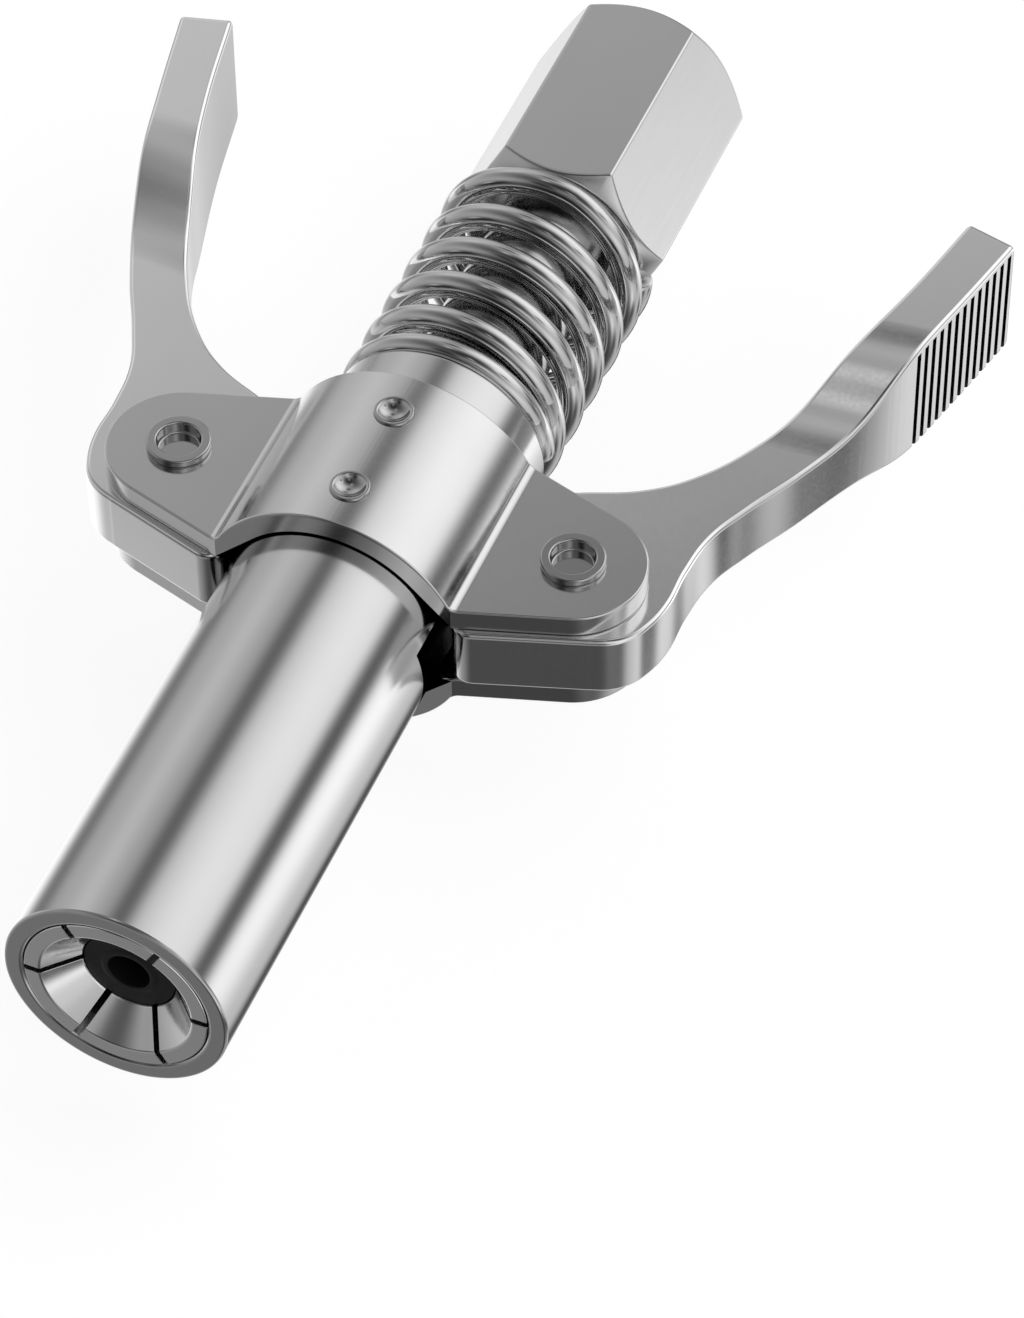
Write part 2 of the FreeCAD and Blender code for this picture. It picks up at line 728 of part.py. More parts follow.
def parts():
    """Every node's name and solid."""
    right = lever_right()
    front = bracket_front()
    solids = {
        "outer_sleeve": outer_sleeve(),
        "bracket_front": front,
        "bracket_rear": mirrored(front, Z_AXIS),
        "bracket_pins": bracket_pins(),
        "rivet_left": rivet(-1),
        "rivet_right": rivet(1),
        "lever_left": mirrored(right, FreeCAD.Vector(1, 0, 0)),
        "lever_right": right,
        "main_spring": coil(spring_mean_radius, spring_wire, spring_turns,
                            sleeve_length + assembly_gap, hex_near - assembly_gap, spring_facets),
        "core_tube": core_tube(),
        "jaw_carrier": jaw_carrier(),
        "carrier_washer": carrier_washer(),
        "socket_washer": socket_washer(),
        "hex_adapter": hex_adapter(),
        "jaw_spreader_ring": jaw_spreader_ring(),
        "nozzle_seal": nozzle_seal(),
        "backing_ring": backing_ring(),
        "seal_follower": seal_follower(),
        "follower_o_ring": ring_solid(follower_radius + o_ring_section / 2 + assembly_gap,
                                      o_ring_section - 2 * assembly_gap, o_ring_station),
        "seal_spring": coil(seal_spring_mean_radius, seal_spring_wire, seal_spring_turns,
                            spring_seat + assembly_gap, chamber_high - assembly_gap,
                            small_spring_facets),
        "check_ball": Part.makeSphere(ball_radius, point(0, ball_centre)),
        "check_spring": coil(ball_spring_mean_radius, ball_spring_wire, ball_spring_turns,
                             ball_spring_low, ball_spring_high, small_spring_facets),
    }
    for index in range(jaw_count):
        solids["jaw_%d" % (index + 1)] = jaw(index)
    return solids


os.makedirs("parts", exist_ok=True)
for node, shape in parts().items():
    shape.exportStep("parts/%s.step" % node)
    print(node, len(shape.Solids), round(shape.Volume, 1), shape.isValid())
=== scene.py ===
"""A quick-release grease coupler with two squeeze levers, dressed for rendering.

Lengths are millimetres with y as the station from the nozzle face, until a piece is finished.
"""

import logging
import math
from dataclasses import dataclass, field
from enum import Enum

import bmesh
import bpy
from mathutils import Matrix, Vector


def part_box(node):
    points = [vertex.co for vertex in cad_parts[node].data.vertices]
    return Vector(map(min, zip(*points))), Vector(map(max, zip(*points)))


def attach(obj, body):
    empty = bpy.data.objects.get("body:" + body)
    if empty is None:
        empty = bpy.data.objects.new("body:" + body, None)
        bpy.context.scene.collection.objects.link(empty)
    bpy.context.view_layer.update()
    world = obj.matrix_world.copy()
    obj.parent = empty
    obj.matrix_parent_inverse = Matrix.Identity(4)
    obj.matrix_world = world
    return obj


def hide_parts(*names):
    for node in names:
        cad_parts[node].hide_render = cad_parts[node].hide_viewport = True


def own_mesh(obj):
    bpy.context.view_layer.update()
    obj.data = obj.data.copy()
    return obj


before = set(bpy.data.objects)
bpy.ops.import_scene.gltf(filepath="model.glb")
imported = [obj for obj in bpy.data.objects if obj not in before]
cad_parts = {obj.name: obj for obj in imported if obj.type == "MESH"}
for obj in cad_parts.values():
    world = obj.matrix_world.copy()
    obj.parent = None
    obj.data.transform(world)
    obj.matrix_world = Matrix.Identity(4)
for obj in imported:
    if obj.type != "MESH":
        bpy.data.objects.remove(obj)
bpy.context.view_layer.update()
LOG = logging.getLogger("grease_coupler")

MM = 0.001
NOZZLE_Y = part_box("outer_sleeve")[0].y
HEX_NEAR = (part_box("hex_adapter")[0].y - NOZZLE_Y) / MM
FULL_TURN = 2 * math.pi
SHARP_ANGLE = math.radians(32)

Corner = tuple[float, float]


# Colours and nodes


def linear(colour: str) -> tuple[float, float, float, float]:
    """Turn an sRGB hex colour into linear RGBA.

    Args:
        colour: Six hex digits with a leading hash.

    Returns:
        Linear red, green, blue and an alpha of 1.
    """
    shares = [int(colour[place:place + 2], 16) / 255 for place in (1, 3, 5)]
    straight = [c / 12.92 if c <= 0.04045 else ((c + 0.055) / 1.055) ** 2.4 for c in shares]
    return (*straight, 1.0)


def add_node(tree: bpy.types.NodeTree, kind: str, settings: dict | None = None,
             inputs: dict | None = None) -> bpy.types.Node:
    """Add a node with its settings and links.

    Args:
        tree: The node tree that gets the node.
        kind: The node's type name.
        settings: Values for the node's own properties.
        inputs: For each input, by name or number, a value or an output socket to link.

    Returns:
        The new node.
    """
    node = tree.nodes.new(kind)
    for name, value in (settings or {}).items():
        setattr(node, name, value)
    for name, value in (inputs or {}).items():
        socket = node.inputs[name]
        if isinstance(value, bpy.types.NodeSocket):
            tree.links.new(value, socket)
        else:
            socket.default_value = value
    return node


def new_tree(name: str) -> tuple[bpy.types.Material, bpy.types.NodeTree]:
    """Make an empty node material.

    Args:
        name: The material's name.

    Returns:
        The material and its node tree.
    """
    material = bpy.data.materials.new(name)
    material.use_nodes = True
    material.node_tree.nodes.clear()
    return material, material.node_tree


class Lay(Enum):
    """Which way the fine lines of a machined surface run."""

    NONE = (1.0, 1.0, 1.0)
    AROUND = (1.0, 6.0, 1.0)
    LENGTHWISE = (1.0, 0.04, 1.0)


@dataclass(frozen=True)
class MetalFinish:
    """A bare or plated metal surface.

    Attributes:
        name: Common name of the metal and how its surface was made.
        colour: Colour of the clean metal.
        shade: Colour in the slightly duller patches.
        roughness: Middle roughness.
        spread: How far the roughness swings either way.
        grain: Size of the surface grain in millimetres.
        relief: Height of the grain in millimetres.
        lay: Which way the grain is drawn out.
    """

    name: str
    colour: str
    shade: str
    roughness: float
    spread: float
    grain: float
    relief: float
    lay: Lay = Lay.NONE

    def material(self) -> bpy.types.Material:
        """Build the finish as a node material.

        Returns:
            The material.
        """
        made, tree = new_tree(self.name)
        place = add_node(tree, "ShaderNodeTexCoord").outputs["Object"]
        drawn = add_node(tree, "ShaderNodeMapping", inputs={
            "Vector": place, "Scale": self.lay.value}).outputs["Vector"]
        grain = add_node(tree, "ShaderNodeTexNoise", inputs={
            "Vector": drawn, "Scale": 1 / (self.grain * MM), "Detail": 3.0,
            "Roughness": 0.6}).outputs["Fac"]
        patches = add_node(tree, "ShaderNodeTexNoise", inputs={
            "Vector": place, "Scale": 1 / (6 * MM), "Detail": 2.0}).outputs["Fac"]
        rough = add_node(tree, "ShaderNodeMapRange", inputs={
            "Value": grain, "From Min": 0.3, "From Max": 0.7,
            "To Min": self.roughness - self.spread,
            "To Max": self.roughness + self.spread}).outputs["Result"]
        tint = add_node(tree, "ShaderNodeMix", {"data_type": "RGBA"}, {
            0: patches, 6: linear(self.colour), 7: linear(self.shade)}).outputs[2]
        bump = add_node(tree, "ShaderNodeBump", inputs={
            "Strength": 1.0, "Distance": self.relief * MM, "Height": grain}).outputs["Normal"]
        shader = add_node(tree, "ShaderNodeBsdfPrincipled", inputs={
            "Base Color": tint, "Metallic": 1.0, "Roughness": rough, "Normal": bump})
        add_node(tree, "ShaderNodeOutputMaterial", inputs={"Surface": shader.outputs[0]})
        return made


@dataclass(frozen=True)
class RubberFinish:
    """Moulded rubber.

    Attributes:
        name: Common name of the rubber and how it was made.
        colour: Colour of the rubber.
        bloom: Paler colour of the dusty patches.
        roughness: Middle roughness.
        grain: Size of the mould's texture in millimetres.
    """

    name: str
    colour: str
    bloom: str
    roughness: float
    grain: float

    def material(self) -> bpy.types.Material:
        """Build the finish as a node material.

        Returns:
            The material.
        """
        made, tree = new_tree(self.name)
        place = add_node(tree, "ShaderNodeTexCoord").outputs["Object"]
        grain = add_node(tree, "ShaderNodeTexNoise", inputs={
            "Vector": place, "Scale": 1 / (self.grain * MM), "Detail": 4.0}).outputs["Fac"]
        tint = add_node(tree, "ShaderNodeMix", {"data_type": "RGBA"}, {
            0: grain, 6: linear(self.colour), 7: linear(self.bloom)}).outputs[2]
        rough = add_node(tree, "ShaderNodeMapRange", inputs={
            "Value": grain, "To Min": self.roughness - 0.08,
            "To Max": self.roughness + 0.08}).outputs["Result"]
        bump = add_node(tree, "ShaderNodeBump", inputs={
            "Strength": 0.6, "Distance": 0.02 * MM, "Height": grain}).outputs["Normal"]
        shader = add_node(tree, "ShaderNodeBsdfPrincipled", inputs={
            "Base Color": tint, "Roughness": rough, "IOR": 1.52, "Normal": bump})
        add_node(tree, "ShaderNodeOutputMaterial", inputs={"Surface": shader.outputs[0]})
        return made


# Bright nickel over turned steel: a clean mirror softened by the satin turning beneath it.
NICKEL_TURNED = MetalFinish("nickel_plate_turned", "#cecece", "#cacaca", 0.14, 0.02, 0.12, 0.0003, Lay.AROUND)
# Nickel over pressed sheet: the press leaves it a little duller than the turned sleeve.
NICKEL_PRESSED = MetalFinish("nickel_plate_pressed_sheet", "#d8d8d8", "#d3d3d3", 0.15, 0.02, 0.25, 0.0003)
# Nickel over a blasted casting: wide, soft highlights.
NICKEL_CAST = MetalFinish("nickel_plate_blasted_casting", "#f6f6f6", "#f0f0f0", 0.13, 0.03, 0.3, 0.0004)
# The grip's grooves, where the polishing wheel doesn't reach: duller, and painted dark as painted shade inside
# the grooves.
GROOVE_PAINTED_SHADE = MetalFinish("nickel_plate_groove_dull_painted_shade", "#484848", "#3c3c3c", 0.42, 0.06, 0.2, 0.001)
# Nickel over drawn hexagon bar: faint lines along the bar.
NICKEL_BAR = MetalFinish("nickel_plate_drawn_bar", "#d4d4d4", "#cfcfcf", 0.18, 0.02, 0.3, 0.0002, Lay.LENGTHWISE)
# Nickel over rolled rivets and pins.
NICKEL_RIVET = MetalFinish("nickel_plate_rolled_steel", "#c0c0c0", "#b8b8b8", 0.1, 0.02, 0.2, 0.0003)
# Drawn spring wire, nickel plated: bright and a touch darker than the sleeve.
SPRING_WIRE = MetalFinish("nickel_plate_spring_wire", "#d4d4d4", "#c8c8c8", 0.05, 0.02, 0.2, 0.0)
# Hardened and ground jaw steel.
JAW_STEEL = MetalFinish("ground_hardened_steel", "#f2f2f2", "#eaeaea", 0.16, 0.03, 0.15, 0.0004)
# Ground steel of the sliding core: bright and smooth, so that the spring mirrors in it.
GROUND_SHAFT = MetalFinish("ground_steel_shaft", "#bcbcbc", "#b4b4b4", 0.1, 0.02, 0.5, 0.0)
# Plain turned steel inside.
TURNED_STEEL = MetalFinish("turned_steel", "#a4a4a4", "#989898", 0.12, 0.02, 0.15, 0.0001, Lay.AROUND)
# Polished bearing steel of the check ball.
BEARING_STEEL = MetalFinish("bearing_steel_polished", "#dededd", "#d8d8d7", 0.08, 0.02, 0.5, 0.0002)
# Soft annealed copper of the sealing washers.
SOFT_COPPER = MetalFinish("annealed_copper", "#c98a63", "#b3744f", 0.35, 0.06, 0.3, 0.001)
# Black nitrile, compression moulded: deep black with a faint dusty bloom.
NITRILE = RubberFinish("nitrile_rubber_moulded", "#0b0b0c", "#18181a", 0.5, 0.25)


# Mesh helpers


def closed_loop(corners: list[Corner]) -> bmesh.types.BMesh:
    """Start a mesh from a closed outline in the plane z = 0.

    Args:
        corners: The outline's corners as (x, station).

    Returns:
        A mesh with the outline's points and edges.
    """
    mesh = bmesh.new()
    points = [mesh.verts.new((x, y, 0)) for x, y in corners]
    for first, second in zip(points, points[1:] + points[:1]):
        mesh.edges.new((first, second))
    return mesh


def turned(profile: list[Corner], steps: int = 128, angle: float = FULL_TURN) -> bmesh.types.BMesh:
    """Turn a closed profile about the coupler's axis.

    Args:
        profile: Corners as (radius, station).
        steps: Facets round the turn.
        angle: How far it turns.

    Returns:
        The turned mesh, open at both ends where it isn't a full turn.
    """
    mesh = closed_loop(profile)
    full = abs(angle - FULL_TURN) < 1e-6
    bmesh.ops.spin(mesh, geom=mesh.verts[:] + mesh.edges[:], cent=(0, 0, 0), axis=(0, 1, 0),
                   dvec=(0, 0, 0), angle=angle, steps=steps, use_merge=full)
    bmesh.ops.remove_doubles(mesh, verts=mesh.verts[:], dist=1e-4)
    bmesh.ops.recalc_face_normals(mesh, faces=mesh.faces[:])
    return mesh


def ease_edges(mesh: bmesh.types.BMesh, width: float, segments: int = 3,
               angle: float = SHARP_ANGLE) -> None:
    """Round every edge that is sharper than an angle.

    Args:
        mesh: The mesh to change.
        width: How far the rounding reaches from the edge.
        segments: Facets across the rounding.
        angle: The least angle that counts as sharp.
    """
    sharp = [edge for edge in mesh.edges if edge.is_manifold and edge.calc_face_angle(0) > angle]
    bmesh.ops.bevel(mesh, geom=sharp, offset=width, offset_type="OFFSET", affect="EDGES",
                    segments=segments, profile=0.5, material=-1, clamp_overlap=False)


def to_object(mesh: bmesh.types.BMesh, name: str) -> bpy.types.Object:
    """Link a mesh as an object and free it.

    Args:
        mesh: The mesh.
        name: The object's name.

    Returns:
        The object.
    """
    data = bpy.data.meshes.new(name)
    mesh.to_mesh(data)
    mesh.free()
    made = bpy.data.objects.new(name, data)
    bpy.context.scene.collection.objects.link(made)
    return made


class Cut(Enum):
    """How one solid changes another."""

    AWAY = "DIFFERENCE"
    COMMON = "INTERSECT"
    JOIN = "UNION"


def carve(piece: bpy.types.Object, tool: bpy.types.Object, cut: Cut) -> None:
    """Combine a piece with a tool solid, which is then removed.

    Args:
        piece: The piece whose mesh changes.
        tool: The solid that cuts, trims or joins it.
        cut: How the two combine.
    """
    change = piece.modifiers.new("carve", "BOOLEAN")
    change.operation = cut.value
    change.solver = "EXACT"
    change.object = tool
    bpy.context.view_layer.update()
    result = bpy.data.meshes.new_from_object(
        piece.evaluated_get(bpy.context.evaluated_depsgraph_get()))
    piece.modifiers.remove(change)
    old = piece.data
    piece.data = result
    bpy.data.meshes.remove(old)
    bpy.data.objects.remove(tool)


def reworked(piece: bpy.types.Object) -> bmesh.types.BMesh:
    """Take an object's mesh back for more work, with its doubles merged.

    Args:
        piece: The object to read.

    Returns:
        A copy of its mesh.
    """
    mesh = bmesh.new()
    mesh.from_mesh(piece.data)
    bmesh.ops.remove_doubles(mesh, verts=mesh.verts[:], dist=0.004)
    bmesh.ops.dissolve_degenerate(mesh, dist=0.002, edges=mesh.edges[:])
    return mesh


def put_back(mesh: bmesh.types.BMesh, piece: bpy.types.Object) -> None:
    """Write a worked mesh back to its object.

    Args:
        mesh: The mesh, which is freed.
        piece: The object that takes it.
    """
    mesh.to_mesh(piece.data)
    mesh.free()


def post(x: float, station: float, radius: float, low: float, high: float,
         steps: int = 64) -> bmesh.types.BMesh:
    """A round bar along Z.

    Args:
        x: Its axis across the coupler.
        station: Its axis along the coupler.
        radius: Its radius.
        low: Its lower end.
        high: Its upper end.
        steps: Facets round it.

    Returns:
        The bar.
    """
    mesh = bmesh.new()
    place = Matrix.Translation((x, station, (low + high) / 2))
    bmesh.ops.create_cone(mesh, cap_ends=True, segments=steps, radius1=radius, radius2=radius,
                          depth=high - low, matrix=place)
    return mesh


def bar(low: Vector, high: Vector, turn: Matrix | None = None) -> bmesh.types.BMesh:
    """A block between two corners.

    Args:
        low: Its lowest corner.
        high: Its highest corner.
        turn: Where it goes after it is made.

    Returns:
        The block.
    """
    mesh = bmesh.new()
    size = Matrix.Diagonal((*(high - low), 1))
    place = Matrix.Translation((low + high) / 2) @ size
    bmesh.ops.create_cube(mesh, size=1, matrix=(turn or Matrix.Identity(4)) @ place)
    return mesh


def mirror_copy(piece: bpy.types.Object, name: str, axis: int) -> bpy.types.Object:
    """A mirror image of a piece in a plane through the coupler's axis.

    Args:
        piece: The piece to copy, still in millimetres.
        name: The copy's name.
        axis: 0 to mirror in x, 2 to mirror in z.

    Returns:
        The copy.
    """
    mesh = bmesh.new()
    mesh.from_mesh(piece.data)
    scale = [1.0, 1.0, 1.0]
    scale[axis] = -1.0
    bmesh.ops.scale(mesh, vec=scale, verts=mesh.verts[:])
    bmesh.ops.reverse_faces(mesh, faces=mesh.faces[:])
    return to_object(mesh, name)


def true_shading(piece: bpy.types.Object, upright_at: Vector | None = None,
                 least: float = 0.1) -> None:
    """Shade turned walls as truly round and flat faces as truly flat.

    The narrow facets of a rounded edge take the shading of the large face that they meet.

    Args:
        piece: The piece, still in millimetres.
        upright_at: A point on the upright line that it is turned about, or None for the
            coupler's own axis.
        least: Turned faces shorter than this along their profile belong to a rounded edge.
    """
    mesh = piece.data
    axis = Vector((0, 1, 0)) if upright_at is None else Vector((0, 0, 1))
    centre = upright_at or Vector()

    def spoke(spot: Vector) -> Vector:
        away = spot - centre
        return away - axis * away.dot(axis)

    normals = [Vector() for _ in mesh.loops]
    at_corner: dict[int, Vector] = {}
    narrow = []
    for face in mesh.polygons:
        spots = [mesh.vertices[index].co for index in face.vertices]
        profile = [(spoke(spot).length, spot.dot(axis)) for spot in spots]
        outward = spoke(face.center).normalized()
        across = abs(outward.cross(face.normal).dot(axis))
        level = max(abs(face.normal.y), abs(face.normal.z)) > 0.9999
        round_wall = across < 0.02 and max(math.dist(profile[0], end) for end in profile) > least
        if not (level or round_wall or across > 0.999 or face.area > 3.0):
            narrow.append(face)
            continue
        reach = outward.dot(face.normal)
        along = axis * face.normal.dot(axis)
        for loop, index, spot in zip(face.loop_indices, face.vertices, spots):
            normals[loop] = face.normal
            if round_wall and not level:
                normals[loop] = (spoke(spot).normalized() * reach + along).normalized()
            at_corner[index] = normals[loop]
    around: dict[int, list[bpy.types.MeshPolygon]] = {}
    for face in mesh.polygons:
        for index in face.vertices:
            around.setdefault(index, []).append(face)
    for face in narrow:
        for loop, index in zip(face.loop_indices, face.vertices):
            if index in at_corner and at_corner[index].dot(face.normal) > 0.7:
                normals[loop] = at_corner[index]
                continue
            near = [other for other in around[index] if other.normal.dot(face.normal) > 0.85]
            total = sum((other.normal * other.area for other in near), Vector())
            normals[loop] = total.normalized()
    mesh.normals_split_custom_set(normals)


def smooth_path(points: list[tuple[float, float, bool]], name: str) -> list[Vector]:
    """Points along a closed line that is smooth except at its corners.

    Args:
        points: Each point's x, station and whether the line has a corner there.
        name: A name for the curve while it is worked out.

    Returns:
        Points along the line, in order.
    """
    data = bpy.data.curves.new(name, "CURVE")
    data.dimensions = "3D"
    data.resolution_u = 12
    line = data.splines.new("BEZIER")
    line.bezier_points.add(len(points) - 1)
    for spot, (x, y, corner) in zip(line.bezier_points, points):
        spot.co = (x, y, 0)
        kind = "VECTOR" if corner else "AUTO"
        spot.handle_left_type = kind
        spot.handle_right_type = kind
    line.use_cyclic_u = True
    shape = bpy.data.objects.new(name, data)
    bpy.context.scene.collection.objects.link(shape)
    bpy.context.view_layer.update()
    flat = bpy.data.meshes.new_from_object(
        shape.evaluated_get(bpy.context.evaluated_depsgraph_get()))
    path = [vertex.co.copy() for vertex in flat.vertices]
    bpy.data.objects.remove(shape)
    bpy.data.meshes.remove(flat)
    return path


class Shading(Enum):
    """How a finished piece's smooth faces are shaded."""

    PLAIN = "plain"
    BY_AREA = "by area"
    TRUE = "true"


@dataclass
class Workshop:
    """Finishes pieces: moves them to the frame, smooths, dresses and ties them to a body.

    Attributes:
        materials: Materials made so far, by name.
    """

    materials: dict[str, bpy.types.Material] = field(default_factory=dict)

    def dress(self, piece: bpy.types.Object, finish: MetalFinish | RubberFinish) -> None:
        """Give a piece its finish.

        Args:
            piece: The piece.
            finish: Its finish.
        """
        if finish.name not in self.materials:
            self.materials[finish.name] = finish.material()
        piece.data.materials.clear()
        piece.data.materials.append(self.materials[finish.name])

    def dress_faces(self, piece: bpy.types.Object, finish: MetalFinish, faces: list[int]) -> None:
        """Give some of a finished piece's faces a second finish.

        Args:
            piece: The piece.
            finish: The second finish.
            faces: The faces' numbers.
        """
        if finish.name not in self.materials:
            self.materials[finish.name] = finish.material()
        piece.data.materials.append(self.materials[finish.name])
        for number in faces:
            piece.data.polygons[number].material_index = 1

    def finish(self, piece: bpy.types.Object, nodes: list[str], finish: MetalFinish | RubberFinish,
               slot: str, body: str, shading: Shading,
               upright_at: Vector | None = None) -> bpy.types.Object:
        """Move a piece into the frame, dress it, tie it to its body and hide its CAD nodes.

        Args:
            piece: The piece in millimetres and stations.
            nodes: The CAD nodes that it replaces.
            finish: Its finish.
            slot: The record's material slot; not used.
            body: The body that it rides on.
            shading: How its smooth faces are shaded.
            upright_at: A point on its own upright axis, for a piece that isn't turned about the
                coupler's.

        Returns:
            The piece.
        """
        piece.data.shade_smooth()
        piece.data.set_sharp_from_angle(angle=SHARP_ANGLE)
        if shading is Shading.TRUE:
            true_shading(piece, upright_at)
        piece.data.transform(Matrix.Translation((0, NOZZLE_Y, 0)) @ Matrix.Scale(MM, 4))
        if shading is Shading.BY_AREA:
            piece.modifiers.new("flat_faces", "WEIGHTED_NORMAL").keep_sharp = True
        self.dress(piece, finish)
        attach(piece, body)
        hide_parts(*nodes)
        LOG.info("%s: %d faces on %s", piece.name, len(piece.data.polygons), body)
        return piece


SHOP = Workshop()


@dataclass
class OuterSleeve:
    """The long barrel with its conical mouth and the two lever slots."""

    radius: float = 8.0
    length: float = 54.4
    bore: float = 5.5
    mouth_radius: float = 6.66
    mouth_depth: float = 5.0
    guide_bore: float = 4.55
    guide_low: float = 46.8
    slot_low: float = 32.45
    slot_high: float = 46.7
    slot_half: float = 2.6
    edge: float = 0.22

    def build(self) -> bpy.types.Object:
        """Turn the barrel, round its edges and cut the slots."""
        mesh = turned([
            (self.mouth_radius, 0), (self.radius, 0), (self.radius, self.length),
            (self.guide_bore, self.length), (self.guide_bore, self.guide_low),
            (self.bore, self.guide_low), (self.bore, self.mouth_depth)], steps=192)
        ease_edges(mesh, self.edge)
        piece = to_object(mesh, "sleeve_barrel")
        reach = 2 * self.radius
        slots = bar(Vector((-reach, self.slot_low, -self.slot_half)),
                    Vector((reach, self.slot_high, self.slot_half)))
        carve(piece, to_object(slots, "slot_tool"), Cut.AWAY)
        return SHOP.finish(piece, ["outer_sleeve"], NICKEL_TURNED, "plated_sleeve", "sleeve",
                           Shading.TRUE)


@dataclass
class Bracket:
    """The two pressed halves that grip the sleeve and carry the lever pivots."""

    inner: float = 8.02
    thickness: float = 1.77
    low: float = 35.55
    high: float = 50.2
    plate_low: float = 2.6
    fold: float = 0.8
    tip: float = 5.2
    pivot_x: float = 14.8
    rivet_hole: float = 1.82
    pin_hole: float = 1.42
    pin_stations: tuple[float, float] = (39.075, 46.675)
    arc_steps: int = 40
    edge: float = 0.16

    def section(self) -> list[Corner]:
        """The bent section as (x, z) corners, from the crown to the ear's tip and back."""
        outer = self.inner + self.thickness
        plate_high = self.plate_low + self.thickness
        centre_z = plate_high + self.fold
        centre_x = math.sqrt((outer + self.fold) ** 2 - centre_z ** 2)
        lean = math.atan2(centre_z, centre_x)
        tip_x = self.pivot_x + 2 * self.tip

        def arch(radius: float) -> list[Corner]:
            spots = [math.pi / 2 + (lean - math.pi / 2) * step / self.arc_steps
                     for step in range(self.arc_steps + 1)]
            return [(radius * math.cos(a), radius * math.sin(a)) for a in spots]

        def bend(radius: float) -> list[Corner]:
            steps = 16
            spots = [lean + (math.pi / 2 - lean) * step / steps for step in range(1, steps + 1)]
            return [(centre_x - radius * math.cos(a), centre_z - radius * math.sin(a)) for a in spots]

        top = arch(outer) + bend(self.fold) + [(tip_x, plate_high)]
        under = arch(self.inner) + bend(self.fold + self.thickness) + [(tip_x, self.plate_low)]
        half = top + under[::-1]
        return half

    def plan(self) -> list[Corner]:
        """The outline seen from the front as (x, station) corners."""
        middle = (self.low + self.high) / 2
        outer = self.inner + self.thickness
        fold_x = math.sqrt(outer ** 2 - (self.plate_low + self.thickness) ** 2)
        run, rise = self.pivot_x - fold_x, (self.high - self.low) / 2
        turn = math.atan2(rise, run) + math.acos(self.tip / math.hypot(run, rise))
        steps = 48
        round_end = []
        for step in range(steps + 1):
            angle = (math.pi - turn) * (2 * step / steps - 1)
            round_end.append((self.pivot_x + self.tip * math.cos(angle),
                              middle + self.tip * math.sin(angle)))
        right = [(fold_x, self.low)] + round_end + [(fold_x, self.high)]
        left = [(-x, y) for x, y in reversed(right)]
        return right + left

    def build(self) -> None:
        """Bend the sheet, trim it to its outline, pierce it and round its edges."""
        half = self.section()
        both = half[1:len(half) - 1]
        corners = [half[0]] + both + [half[-1]] + [(-x, z) for x, z in reversed(both)]
        mesh = bmesh.new()
        points = [mesh.verts.new((x, self.low - 1, z)) for x, z in corners]
        sheet = mesh.faces.new(points)
        grown = bmesh.ops.extrude_face_region(mesh, geom=[sheet])
        moved = [item for item in grown["geom"] if isinstance(item, bmesh.types.BMVert)]
        bmesh.ops.translate(mesh, vec=(0, self.high - self.low + 2, 0), verts=moved)
        bmesh.ops.recalc_face_normals(mesh, faces=mesh.faces[:])
        piece = to_object(mesh, "bracket_half_front")
        cutter = closed_loop(self.plan())
        flat = cutter.faces.new(cutter.verts[:])
        grown = bmesh.ops.extrude_face_region(cutter, geom=[flat])
        moved = [item for item in grown["geom"] if isinstance(item, bmesh.types.BMVert)]
        bmesh.ops.translate(cutter, vec=(0, 0, 3 * self.inner), verts=moved)
        bmesh.ops.recalc_face_normals(cutter, faces=cutter.faces[:])
        carve(piece, to_object(cutter, "outline_tool"), Cut.COMMON)
        for side in (-1, 1):
            hole = post(side * self.pivot_x, (self.low + self.high) / 2, self.rivet_hole, 0, 3 * self.inner)
            carve(piece, to_object(hole, "rivet_tool"), Cut.AWAY)
        mesh = reworked(piece)
        ease_edges(mesh, self.edge, angle=math.radians(40))
        put_back(mesh, piece)
        for station in self.pin_stations:
            hole = post(0, station, self.pin_hole, 0, 3 * self.inner)
            carve(piece, to_object(hole, "pin_tool"), Cut.AWAY)
        rear = mirror_copy(piece, "bracket_half_rear", 2)
        SHOP.finish(piece, ["bracket_front"], NICKEL_PRESSED, "plated_bracket", "sleeve", Shading.TRUE)
        SHOP.finish(rear, ["bracket_rear"], NICKEL_PRESSED, "plated_bracket", "sleeve", Shading.TRUE)


